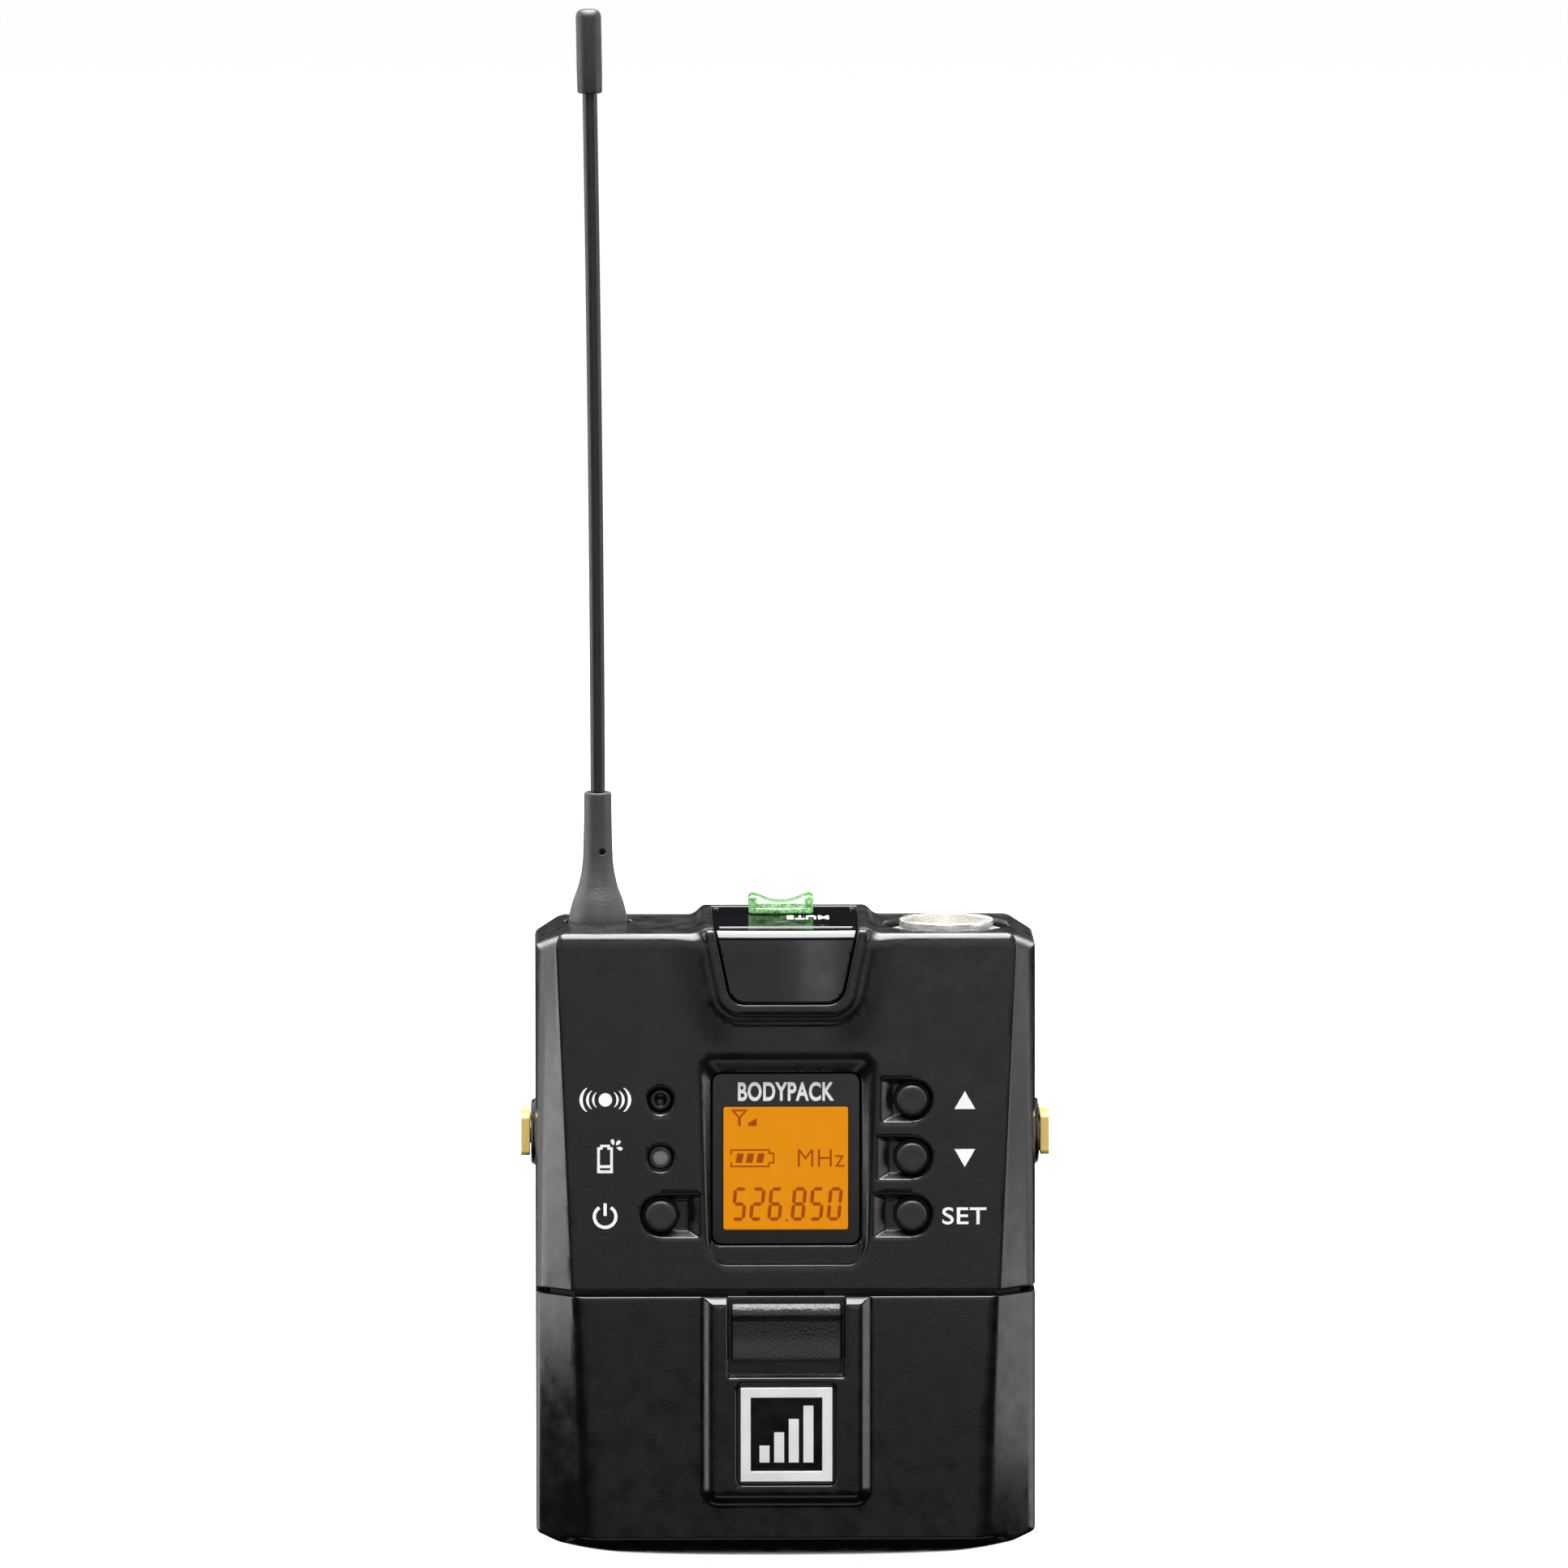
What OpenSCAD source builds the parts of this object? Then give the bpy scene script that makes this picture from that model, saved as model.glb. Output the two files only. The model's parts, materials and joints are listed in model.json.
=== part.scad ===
// Wireless bodypack transmitter: a belt-worn radio pack with a whip antenna, a locking microphone socket,
// a mute slider, a lit display with four push buttons, a hinged battery door and a sprung belt clip.
// Frame: +X to the right of someone facing the display, +Y to the back, +Z up. The origin lies on the
// back face of the case, on its centre line, where the belt's upper edge bears under the clip's arms.

/* [Case] */
// Width of the case across its sides
case_w = 65; // [64.6:0.2:67]
// Depth of the case from its front face to its back face
case_d = 21.4; // [21.4:0.2:23]
// Height of the top face above the belt's upper edge
top_z = 30.7; // [30.7:0.1:32]
// Height of the case from its top face to its lowest point
case_h = 82.8; // [82.8:0.1:84]
// Wall thickness of the mouldings
wall = 1.5; // [1.3:0.1:1.6]
// Width of the slanted facet beside the front face, at the top
facet_w = 2.6; // [2:0.1:3]
// Growth of that facet per millimetre downwards
facet_grow = 0.0465; // [0.03:0.0005:0.05]
// Radius of the curved bottom edge
bottom_r = 270; // [240:10:400]

/* [Display and buttons] */
// Width of the recess around the display
recess_w = 22.4; // [22:0.1:23]
// Height of the recess around the display
recess_h = 27.1; // [27:0.1:27.6]
// Width of the display's lens
lens_w = 19.2; // [18.8:0.1:19.6]
// Height of the display's lens
lens_h = 22.4; // [22:0.1:22.8]
// Distance of each button column from the centre line
button_x = 16.3; // [16:0.1:17]
// Distance from one button to the next below it
button_pitch = 7.55; // [7.2:0.05:7.6]
// Diameter of a button's cap
button_d = 4.2; // [3.8:0.1:4.4]
// Travel of a button
button_travel = 0.45; // [0.3:0.05:0.45]

/* [Antenna] */
// Distance of the antenna left of the centre line
antenna_x = 24.3; // [24:0.1:24.6]
// Height of the boot above the top face
boot_h = 16.9; // [14:0.1:20]
// Diameter of the whip
whip_d = 1.9; // [1.6:0.1:1.9]
// Length of the whip from the boot to its cap
whip_l = 91.1; // [60:0.1:140]
// Diameter of the cap
cap_d = 3.3; // [3:0.1:4]
// Length of the cap
cap_l = 11; // [8:0.5:14]

/* [Microphone socket] */
// Distance of the socket right of the centre line
mic_x = 21; // [20.6:0.1:21.2]
// Outer diameter of the barrel
mic_d = 12.2; // [12:0.1:12.4]
// Diameter of the mouth that guides the plug
mouth_d = 9.9; // [9.7:0.1:10]
// Length of the mouth above the contact pins
mouth_l = 2.4; // [2:0.1:2.5]
// Size of the hexagonal nut across its flats
nut_af = 13.2; // [13:0.1:13.4]

/* [Battery door] */
// Amount by which the door stands proud of the case
door_proud = 0.4; // [0.2:0.1:0.5]
// Amount by which the middle of the door stands proud of the door
column_proud = 1.1; // [0.9:0.1:1.4]
// Travel of the latch
latch_travel = 1.4; // [1:0.1:1.6]
// Diameter of a hinge pin
pin_d = 1.6; // [1.2:0.1:1.6]

/* [Cells] */
// Diameter of a cell
cell_d = 14.5; // [13.5:0.1:14.5]
// Length of a cell over its positive button
cell_l = 50.5; // [49.5:0.1:50.5]

/* [Belt clip] */
// Thickness of the clip's sheet
clip_t = 1.2; // [0.8:0.1:1.4]
// Height of the clip's side arms
arm_h = 5.4; // [5:0.1:6]
// Clear gap between the clip's tongue and the case
belt_gap = 4.8; // [4.6:0.1:6]
// Width of the clip's tongue
tongue_w = 34; // [26:1:44]
// Distance of the tongue's tip below the arms
tongue_l = 43; // [40:0.5:43]

/* [Hidden] */

$fn = 64;
big = 120;
eps = 0.05;

// Levels of the case
half_w = case_w / 2;
front_y = -case_d;
bottom_z = top_z - case_h;
shell_z = -16.1;
cover_y = -2.5;
cover_wall = 1.5;

// Corners of the case's outline
chamfer_x = 3.4;
chamfer_z = 2.2;
corner_rise = 3.85;
corner_run = 10;
corner_slope = 21.1;

// Screws that hold the rear cover
screw_x = 27.6;
screw_z = [10, -11];
screw_r = 1;
post_r = 2.3;
post_y = front_y + 7.4;

// Display stack, each level measured behind the front face
recess_depth = 0.9;
lens_y = front_y + 1.7;
lens_t = 1;
ledge_y = lens_y + lens_t + eps;
ledge_t = 0.75;
lcd_y = ledge_y + ledge_t + eps;
lcd_t = 1.4;
light_y = lcd_y + lcd_t + 0.1;
light_t = 1;
board_y = front_y + 6.3;
board_t = 1;
recess_z = 0.78;
lens_z = 1.05;
window_w = 17.2;
window_h = 17.6;
window_z = -0.3;

// Buttons and lamps, from the top row down
row_z = [8.9, 8.9 - button_pitch, 8.9 - 2 * button_pitch];
well_r = 3.05;
well_depth = 0.6;
button_gap = 0.15;
flange_r = button_d / 2 + 0.7;
flange_t = 0.6;
switch_top = board_y - 2.3;
button_front = front_y - 0.1;
scoop_h = 5.4;
scoop_depth = 0.35;
scoop_turn = 171;
lamp_r = 1.9;
lamp_depth = 0.8;

// Mute insert, a cap over the top edge with a domed top, and the slider on it
insert_top = top_z + 1.1;
insert_edge = top_z + 0.4;
dome_y = -5;
dome_run = 11;
dome_r = (pow(dome_run, 2) + pow(insert_top - insert_edge, 2)) / (2 * (insert_top - insert_edge));
insert_t = 1.2;
insert_proud = 0.35;
insert_low = 21.6;
insert_half = 9.1;
insert_taper = 0.207;
insert_back = -3.3;
collar_w = 1.7;
collar_proud = 0.45;
slider_x = -0.5;
slider_y = -8.2;
slider_w = 8.4;
slider_d = 4.2;
slider_top = insert_top + 2.45;
slider_low = insert_top - 0.8;
slider_travel = 2;
stem_w = 3;
stem_d = 2;

// Antenna socket
antenna_y = -7.6;
antenna_well = 0.7;
boot_base = top_z - antenna_well;
boot_top = top_z + boot_h;
flex_z = boot_top - 0.9;
ferrule_r = 2.6;

// Microphone socket
mic_y = -11;
mic_r = mic_d / 2;
mic_rim = top_z + 0.6;
mic_recess_z = top_z - 2.7;
mic_seat = mic_recess_z - 1.5;
mic_bottom = 14.5;
nut_t = 2;

// Battery bay
bay_y = -12.2;
cell_r = cell_d / 2;
cell_pitch = 14.8;
upper_z = -25.45;
lower_z = upper_z - cell_pitch;
plate_t = 0.6;
plate_half = 4.5;
tail_w = 1.6;
tail_y = [-13.4, -6.8];
spring_l = 3.2;
bay_half = (cell_l + spring_l) / 2 + plate_t;
bay_r = 7.45;
tray_top = -15.2;

// Door and its hinge
door_y = front_y - door_proud;
door_z = -16.7;
door_wall = 1.4;
door_back = cover_y - 0.3;
sweep_r = 8;
hinge_y = -3.6;
curl_r = 3.45;
hinge_z = bottom_z + curl_r;
hinge_gap = 0.3;
knuckle_x = [16.5, 21.7];
ear_x = [22, 27];
knuckle_r = 1.7;
column_y = door_y - column_proud;
column_half = 9.4;
column_flank = 1.9;
column_low = -43.6;

// Latch in the door
latch_half = 7.2;
latch_top = -17.4;
latch_low = -25.2;
latch_pocket_half = 7.65;
latch_pocket_low = -27.2;
latch_floor = column_y + 1.45;
latch_stem_half = 3;
latch_stem_top = -18.3;
latch_stem_low = -20.6;
latch_slot_low = latch_stem_low - latch_travel - 0.3;
spring_room = 1.4;

// Badge on the door
badge_half = 6.4;
badge_z = [-41.3, -28.1];
badge_floor = column_y + 0.8;
badge_ring = 1.25;

// Belt clip
pivot_y = -9.4;
arm_low = 0.5;
arm_turn = -6.7;
bar_h = 3.6;
pivot_z = arm_low + arm_h / 2;
boss_r = 4.3;
boss_x = half_w + 0.6;
arm_x = boss_x + 0.1;
arm_front = -13;
arm_corner = 0.6;
stud_r = 1.5;
tongue_bend = -30;

// Extrudes a front-view outline from y0 back to y1
module slab_y(y0, y1) {
    translate([0, y1, 0]) rotate([90, 0, 0]) linear_extrude(y1 - y0) children();
}

// Extrudes a side-view outline, drawn as (y, z), from x0 to x1
module slab_x(x0, x1) {
    translate([x0, 0, 0]) rotate([90, 0, 90]) linear_extrude(x1 - x0) children();
}

// Everything between two heights
module band_z(z0, z1) {
    translate([-big, -big, z0]) cube([2 * big, 2 * big, z1 - z0]);
}

module both_sides() {
    children();
    mirror([1, 0, 0]) children();
}

// Rectangle with round corners about a centre
module round_rect(w, h, r, centre = [0, 0]) {
    translate(centre) {
        square([w - 2 * r, h], center = true);
        square([w, h - 2 * r], center = true);
        for (x = [-1, 1], y = [-1, 1])
            translate([x * (w / 2 - r), y * (h / 2 - r)]) circle(r);
    }
}

// A round rod along Y between two depths
module rod_y(r, x, z, y0, y1) {
    translate([x, y1, z]) rotate([90, 0, 0]) cylinder(r = r, h = y1 - y0);
}

// A round rod along X between two sides
module rod_x(r, x0, x1, y, z) {
    translate([x0, y, z]) rotate([0, 90, 0]) cylinder(r = r, h = x1 - x0);
}

// Front-view outline of the case, moved inwards by i
module case_outline(i = 0) {
    side_z = top_z - chamfer_z - 0.544 * i;
    foot_z = bottom_z + corner_rise + 0.686 * i;
    half = half_w - i;
    run_z = foot_z - corner_run * tan(corner_slope);
    intersection() {
        polygon([
            [-half_w + chamfer_x + 0.295 * i, top_z - i], [half_w - chamfer_x - 0.295 * i, top_z - i],
            [half, side_z], [half, foot_z], [half - corner_run, run_z],
            [corner_run - half, run_z], [-half, foot_z], [-half, side_z]
        ]);
        translate([0, bottom_z + bottom_r]) circle(bottom_r - i, $fn = 720);
    }
}

// What lies outside the slanted facets beside the front face, moved inwards by i
module facet_cuts(i = 0) {
    tilt = asin(facet_grow / sqrt(2 + facet_grow * facet_grow));
    both_sides() translate([half_w - facet_w, front_y, top_z]) rotate([0, tilt, -45])
        translate([-i, -big, -big]) cube([big, 2 * big, 2 * big]);
}

// The case's form between two depths, moved inwards by i
module case_block(i, y0, y1) {
    difference() {
        slab_y(y0, y1) case_outline(i);
        facet_cuts(i);
    }
}

// Front view of the mute insert, grown by g
module insert_outline(g = 0, top = insert_top + 1) {
    low = insert_low - g;
    half = function(z) insert_half + g + (z - top_z) * insert_taper;
    polygon([[-half(top), top], [half(top), top], [half(low), low], [-half(low), low]]);
}

// Everything under the mute insert's domed top, grown by g
module under_dome(g = 0) {
    band_z(-big, insert_edge + g);
    rod_x(dome_r + g, -big, big, dome_y, insert_top - dome_r, $fn = 360);
}

// Raised collar on the top face round the mute insert, between two depths
module collar_top(y0, y1) {
    intersection() {
        slab_y(y0, y1) insert_outline(collar_w);
        under_dome(0.1);
        band_z(top_z - 1, big);
    }
}

// Four posts and their ribs for the case screws
module screw_posts() {
    for (z = screw_z) both_sides() {
        rod_y(post_r, screw_x, z, post_y, cover_y);
        translate([screw_x, post_y, z - 0.6]) cube([half_w - wall / 2 - screw_x, cover_y - post_y, 1.2]);
    }
}

module at_buttons() {
    translate([-button_x, 0, row_z[2]]) children();
    for (z = row_z) translate([button_x, 0, z]) children();
}

// Dished ramp from a button's well into the display recess
module scoop(z) {
    length = button_x - recess_w / 2 + 0.4;
    translate([button_x, front_y + scoop_depth, z - scoop_h / 2]) rotate([0, 0, scoop_turn])
        cube([length, 3, scoop_h]);
}

module front_shell() color("#2b2b2d") difference() {
    union() {
        difference() {
            case_block(0, front_y, cover_y);
            case_block(wall, front_y + wall, cover_y + 1);
        }
        // Seat behind the display's recess
        slab_y(front_y + wall / 2, ledge_y + ledge_t)
            round_rect(recess_w + 2.4, recess_h + 2.4, 1.5, [0, recess_z]);
        // Collar and backing of the mute insert
        collar_top(front_y - collar_proud, cover_y);
        slab_y(front_y - collar_proud, front_y + 1) insert_outline(collar_w, top_z);
        slab_y(front_y + wall / 2, front_y + 2.2) insert_outline(1, top_z - wall / 2);
        // Seats of the microphone socket and of the antenna
        translate([mic_x, mic_y, mic_seat]) cylinder(r = mic_r + 3.2, h = top_z - mic_seat - wall / 2);
        translate([-antenna_x, antenna_y, boot_base - 3.5]) cylinder(r = 5, h = 3.5);
        both_sides() rod_x(boss_r, half_w - wall, boss_x, pivot_y, pivot_z);
        screw_posts();
        // Posts for the board
        for (p = board_posts()) rod_y(2, p[0], p[1], front_y + wall / 2, board_y);
    }
    band_z(-big, shell_z);
    // Display
    slab_y(front_y - 1, front_y + recess_depth) round_rect(recess_w, recess_h, 1.2, [0, recess_z]);
    slab_y(front_y - 1, ledge_y) round_rect(lens_w + 0.2, lens_h + 0.2, 1.3, [0, lens_z]);
    slab_y(front_y - 1, ledge_y + 2) translate([0, window_z]) square([window_w, window_h], center = true);
    // Buttons
    at_buttons() {
        rod_y(button_d / 2 + button_gap, 0, 0, front_y - 1, front_y + 4);
        rod_y(well_r, 0, 0, front_y - 1, front_y + well_depth);
    }
    for (z = row_z) scoop(z);
    mirror([1, 0, 0]) scoop(row_z[2]);
    // Infrared window and status lamp
    for (z = [row_z[0], row_z[1]]) rod_y(lamp_r, -button_x, z, front_y - 1, front_y + lamp_depth);
    rod_y(1.35 + eps, -button_x, row_z[0], front_y - 1, front_y + 4);
    rod_y(1.05 + eps, -button_x, row_z[1], front_y - 1, front_y + 4);
    // Mute insert and the slot for its slider
    slab_y(front_y - 1, front_y + insert_t - insert_proud + eps) insert_outline(0.1);
    intersection() {
        slab_y(front_y - 1, insert_back + 0.1) insert_outline(0.1);
        band_z(insert_edge - insert_t - eps, big);
    }
    slider_slot(0.25, top_z - 3, top_z + 3);
    // Sockets
    translate([mic_x, mic_y, mic_recess_z]) cylinder(r = nut_af / 2 + 1.6, h = big);
    translate([mic_x, mic_y, mic_seat - 1]) cylinder(r = mic_r + eps, h = big);
    translate([-antenna_x, antenna_y, boot_base]) cylinder(r = 4.5, h = big);
    translate([-antenna_x, antenna_y, top_z - 8]) cylinder(r = ferrule_r + eps, h = big);
    // Pivots, screws and board posts
    both_sides() rod_x(stud_r + 0.06, half_w - wall - 1, boss_x + 1, pivot_y, pivot_z);
    for (z = screw_z) both_sides() rod_y(screw_r, screw_x, z, post_y + 1.5, cover_y + 1);
    for (p = board_posts()) rod_y(0.8, p[0], p[1], front_y + wall + 1, board_y + 1);
}

function board_posts() = [[-21, 20.5], [-21.5, -11], [21.5, -11]];

// Room that the mute slider's stem needs, with a gap g round it
module slider_slot(g, z0, z1) {
    translate([slider_x - stem_w / 2 - g, slider_y - stem_d / 2 - g, z0])
        cube([stem_w + slider_travel + 2 * g, stem_d + 2 * g, z1 - z0]);
}

module rear_cover() color("#262628") difference() {
    union() {
        difference() {
            slab_y(cover_y, 0) case_outline();
            slab_y(cover_y - 1, -cover_wall) case_outline(2.2);
        }
        collar_top(cover_y, -0.8);
        for (z = screw_z) both_sides() rod_y(3, screw_x, z, cover_y, -cover_wall / 2);
        // Ribs that back the battery tray
        both_sides() translate([10, -3.4, -44]) cube([1.2, 2.4, 26]);
    }
    band_z(-big, hinge_z + 0.5);
    rod_x(curl_r + hinge_gap, -big, big, hinge_y, hinge_z);
    for (z = screw_z) both_sides() {
        rod_y(screw_r + 0.1, screw_x, z, cover_y - 1, 1);
        rod_y(2, screw_x, z, -1.3, 1);
    }
}

module case_screws() color("#8d8f92") for (z = screw_z) both_sides() difference() {
    union() {
        rod_y(1.8, screw_x, z, -1.3, -0.2);
        rod_y(screw_r - eps, screw_x, z, -9, -1.3);
    }
    // Cross recess
    for (a = [0, 90]) translate([screw_x, 0, z]) rotate([0, a, 0]) cube([2, 1.4, 0.4], center = true);
}

module display_lens() color("#101113")
    slab_y(lens_y, lens_y + lens_t) round_rect(lens_w, lens_h, 1.2, [0, lens_z]);

module lcd_panel() color("#e58f05")
    slab_y(lcd_y, lcd_y + lcd_t) translate([0, window_z]) square([18.4, 19.2], center = true);

module lcd_backlight() color("#f2efe6")
    slab_y(light_y, light_y + light_t) translate([0, window_z]) square([18.4, 19.2], center = true);

module lcd_holder() color("#d8d8d4") difference() {
    slab_y(lcd_y, light_y + light_t) translate([0, window_z]) square([21, 21.8], center = true);
    slab_y(lcd_y - 1, big) translate([0, window_z]) square([18.6, 19.4], center = true);
}

// A button's cap, its retaining flange and the plunger that meets its switch
module push_button(x, z) {
    rod_y(button_d / 2 - 0.25, x, z, button_front, button_front + 0.3);
    rod_y(button_d / 2, x, z, button_front + 0.25, front_y + wall + 0.3);
    rod_y(flange_r, x, z, front_y + wall + 0.15, front_y + wall + 0.15 + flange_t);
    rod_y(1, x, z, front_y + wall + 0.5, switch_top - button_travel - eps);
}

module power_button() color("#3f4042") push_button(-button_x, row_z[2]);

module up_button() color("#3f4042") push_button(button_x, row_z[0]);

module down_button() color("#3f4042") push_button(button_x, row_z[1]);

module set_button() color("#3f4042") push_button(button_x, row_z[2]);

module tact_switches() color("#b9babd") at_buttons() {
    translate([-2.2, board_y - 1.8, -2.2]) cube([4.4, 1.8, 4.4]);
    rod_y(1, 0, 0, switch_top, board_y - 1.7);
}

module led_lens() color("#8b8f90") {
    rod_y(1.05, -button_x, row_z[1], front_y + 0.55, board_y - 1);
    rod_y(1.7, -button_x, row_z[1], front_y + wall + eps, front_y + wall + 0.8);
}

module status_led() color("#e9e4c8")
    translate([-button_x - 0.8, board_y - 0.9, row_z[1] - 0.6]) cube([1.6, 0.9, 1.2]);

module ir_window() color("#1c1718") {
    rod_y(1.35, -button_x, row_z[0], front_y + 0.5, front_y + wall + 0.3);
    rod_y(1.9, -button_x, row_z[0], front_y + wall + eps, front_y + wall + 0.8);
}

module ir_receiver() color("#2a2224")
    translate([-button_x - 1.6, board_y - 2, row_z[0] - 1.8]) cube([3.2, 2, 3.6]);

module mute_insert() color("#0d0d0e") difference() {
    intersection() {
        slab_y(front_y - insert_proud, insert_back) insert_outline();
        under_dome();
    }
    slab_y(front_y - insert_proud + insert_t, 1) translate([-big, -big])
        square([2 * big, big + insert_edge - insert_t]);
    slider_slot(0.25, top_z - 3, top_z + 3);
}

module mute_slider() color("#77a769") {
    difference() {
        translate([slider_x - slider_w / 2, slider_y - slider_d / 2, slider_low])
            cube([slider_w, slider_d, slider_top - slider_low]);
        under_dome(0.12);
        // Finger dip across the knob
        translate([slider_x, slider_y - slider_d, slider_top + 6.6]) rotate([-90, 0, 0])
            cylinder(r = 7.5, h = 2 * slider_d);
    }
    translate([slider_x - stem_w / 2, slider_y - stem_d / 2, top_z - 3.5])
        cube([stem_w, stem_d, insert_top + 0.4 - top_z + 3.5]);
}

module mute_switch() color("#a9abae") difference() {
    translate([slider_x - 5.5, slider_y - 2.3, top_z - wall - 4]) cube([12.5, 4.6, 4]);
    slider_slot(0.2, top_z - wall - 2.4, top_z);
}

module main_board() color("#1f5a3a") difference() {
    slab_y(board_y, board_y + board_t) translate([-25, -13.5]) square([50, 40]);
    // Room for the microphone socket
    translate([mic_x - mic_r - 2, -big, 12.8]) cube(big * 2);
    for (p = board_posts()) rod_y(1, p[0], p[1], -big, big);
}

module board_screws() color("#9a9c9f") for (p = board_posts()) {
    rod_y(1.7, p[0], p[1], board_y + board_t, board_y + board_t + 1);
    rod_y(0.75, p[0], p[1], board_y - 2.5, board_y + board_t + 0.1);
}

module rf_shield() color("#c9cbce") translate([-18.5, board_y + board_t, -3]) difference() {
    cube([24, 3.2, 20]);
    translate([0.3, -1, 0.3]) cube([23.4, 3.9, 19.4]);
}

module board_chips() color("#17181a") {
    back = board_y + board_t;
    translate([-12, back, 3]) cube([7, 1.2, 7]);
    translate([-2, back, 8]) cube([5, 1, 5]);
    translate([8.5, back, -9]) cube([9, 1.4, 9]);
    translate([9.5, back, 3]) cube([6, 1.1, 5]);
    translate([-8, back, -11.5]) cube([6, 2.6, 6]);
    rod_y(2.6, 3, -9.5, back, back + 5);
}

module antenna_ferrule() color("#b48a3c") translate([-antenna_x, antenna_y, 0]) {
    translate([0, 0, boot_base - 6.5]) cylinder(r = ferrule_r, h = 6.5);
    translate([0, 0, boot_base - 5]) cylinder(r = 3.9, h = 1.5);
}

// Bent strip from the ferrule to the board
module antenna_feed() color("#c9a24a") translate([-antenna_x - 1, 0, 0]) {
    translate([0, board_y + board_t, 22]) cube([2, antenna_y - board_y - board_t + 1, 0.4]);
    translate([0, board_y + board_t, 22]) cube([2, 0.4, 3]);
    translate([0, antenna_y, 22]) cube([2, 1, boot_base - 6.5 - 22]);
}

// Rubber boot, with the flared seat that lets the whip lean
module antenna_boot() color("#6a6b6d") translate([-antenna_x, antenna_y, 0]) difference() {
    rotate_extrude() polygon([
        [0, boot_base], [3.7, boot_base], [3.85, top_z + 0.3], [3.28, top_z + 2.7], [2.58, top_z + 4.4],
        [2.15, top_z + 6.2], [1.95, top_z + 7.9], [1.85, top_z + 11], [1.76, boot_top - 0.3],
        [1.6, boot_top], [0, boot_top]
    ]);
    translate([0, 0, flex_z]) sphere(r = 1.15);
    translate([0, 0, flex_z]) cylinder(r1 = 1.06, r2 = 1.54, h = 1.03);
}

module antenna_whip() color("#494a4c") translate([-antenna_x, antenna_y, flex_z]) {
    sphere(r = 1.02);
    cylinder(d = whip_d, h = whip_l + 0.9);
}

module antenna_cap() color("#3a3b3d") translate([-antenna_x, antenna_y, boot_top + whip_l])
    rotate_extrude() polygon([
        [0, 0], [cap_d / 2 - 0.1, 0], [cap_d / 2, 0.2], [cap_d / 2 - 0.1, cap_l - 0.9],
        [cap_d / 2 - 0.5, cap_l - 0.25], [cap_d / 2 - 1, cap_l], [0, cap_l]
    ]);

module mic_barrel() color("#c4c4bf") translate([mic_x, mic_y, 0]) difference() {
    union() {
        translate([0, 0, mic_bottom]) cylinder(r = mic_r, h = mic_rim - mic_bottom);
        translate([0, 0, mic_seat - 1.3]) cylinder(r = mic_r + 1.3, h = 1.3);
    }
    translate([0, 0, mic_rim - mouth_l]) cylinder(d = mouth_d, h = mouth_l + 1);
    translate([0, 0, mic_bottom - 1]) cylinder(r = mouth_d / 2 - 0.25, h = big / 2);
}

module mic_nut() color("#d2d2ce") translate([mic_x, mic_y, mic_recess_z]) difference() {
    cylinder(r = nut_af / sqrt(3), h = nut_t, $fn = 6);
    translate([0, 0, -1]) cylinder(r = mic_r + eps, h = nut_t + 2);
}

module mic_insulator() color("#1b1b1c") translate([mic_x, mic_y, 17]) difference() {
    cylinder(r = mouth_d / 2 - 0.3, h = 3.5);
    at_pins() translate([0, 0, -1]) cylinder(d = 1, h = 6);
}

module at_pins() {
    for (a = [45 : 90 : 315]) rotate([0, 0, a]) translate([2.1, 0, 0]) children();
}

module mic_pins() color("#d6b45c") translate([mic_x, mic_y, 0]) at_pins() {
    translate([0, 0, mic_bottom]) cylinder(d = 1, h = mic_rim - mouth_l - mic_bottom - 0.6);
    translate([0, 0, mic_rim - mouth_l - 0.6]) sphere(d = 1);
}

// Flexible circuit from the socket's pins to the board
module mic_flex() color("#b5651d") {
    board_back = board_y + board_t;
    translate([mic_x - 4, board_back, mic_bottom - 0.4]) cube([8, 6, 0.3]);
    translate([mic_x - 4, board_back, 9]) cube([8, 0.3, mic_bottom - 9.1]);
}

// Side view of the door's outside, moved inwards by i
module door_profile(i) {
    sweep = sweep_r - i;
    translate([door_y + sweep_r, bottom_z + sweep_r]) circle(sweep);
    translate([door_y + sweep_r, bottom_z + i]) square([hinge_y - door_y - sweep_r, sweep_r]);
    translate([door_y + i, bottom_z + sweep_r]) square([door_back - door_y - i, big]);
    translate([door_y + sweep_r, hinge_z]) square([door_back - door_y - sweep_r, big]);
    translate([hinge_y, hinge_z]) circle(curl_r - i);
}

module door_block(i) {
    intersection() {
        case_block(i, door_y - 1, 0);
        slab_x(-big, big) door_profile(i);
    }
}

module battery_tray() color("#1d1d1f") {
    difference() {
        intersection() {
            door_block(1.9);
            translate([-big, -19, -48.9]) cube([2 * big, 15.6, tray_top + 48.9]);
        }
        for (z = [upper_z, lower_z]) {
            rod_x(bay_r, -bay_half, bay_half, bay_y, z);
            translate([-bay_half, -big, z - bay_r]) cube([2 * bay_half, big + bay_y, 2 * bay_r]);
        }
        rod_x(curl_r + hinge_gap, -big, big, hinge_y, hinge_z);
        contact_slots();
        latch_room();
    }
    // Hinge knuckles
    both_sides() difference() {
        union() {
            rod_x(knuckle_r, knuckle_x[0], knuckle_x[1], hinge_y, hinge_z);
            translate([knuckle_x[0], hinge_y - knuckle_r, hinge_z])
                cube([knuckle_x[1] - knuckle_x[0], 2 * knuckle_r, 4.6]);
        }
        rod_x(pin_d / 2, 0, big, hinge_y, hinge_z);
    }
}

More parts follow.
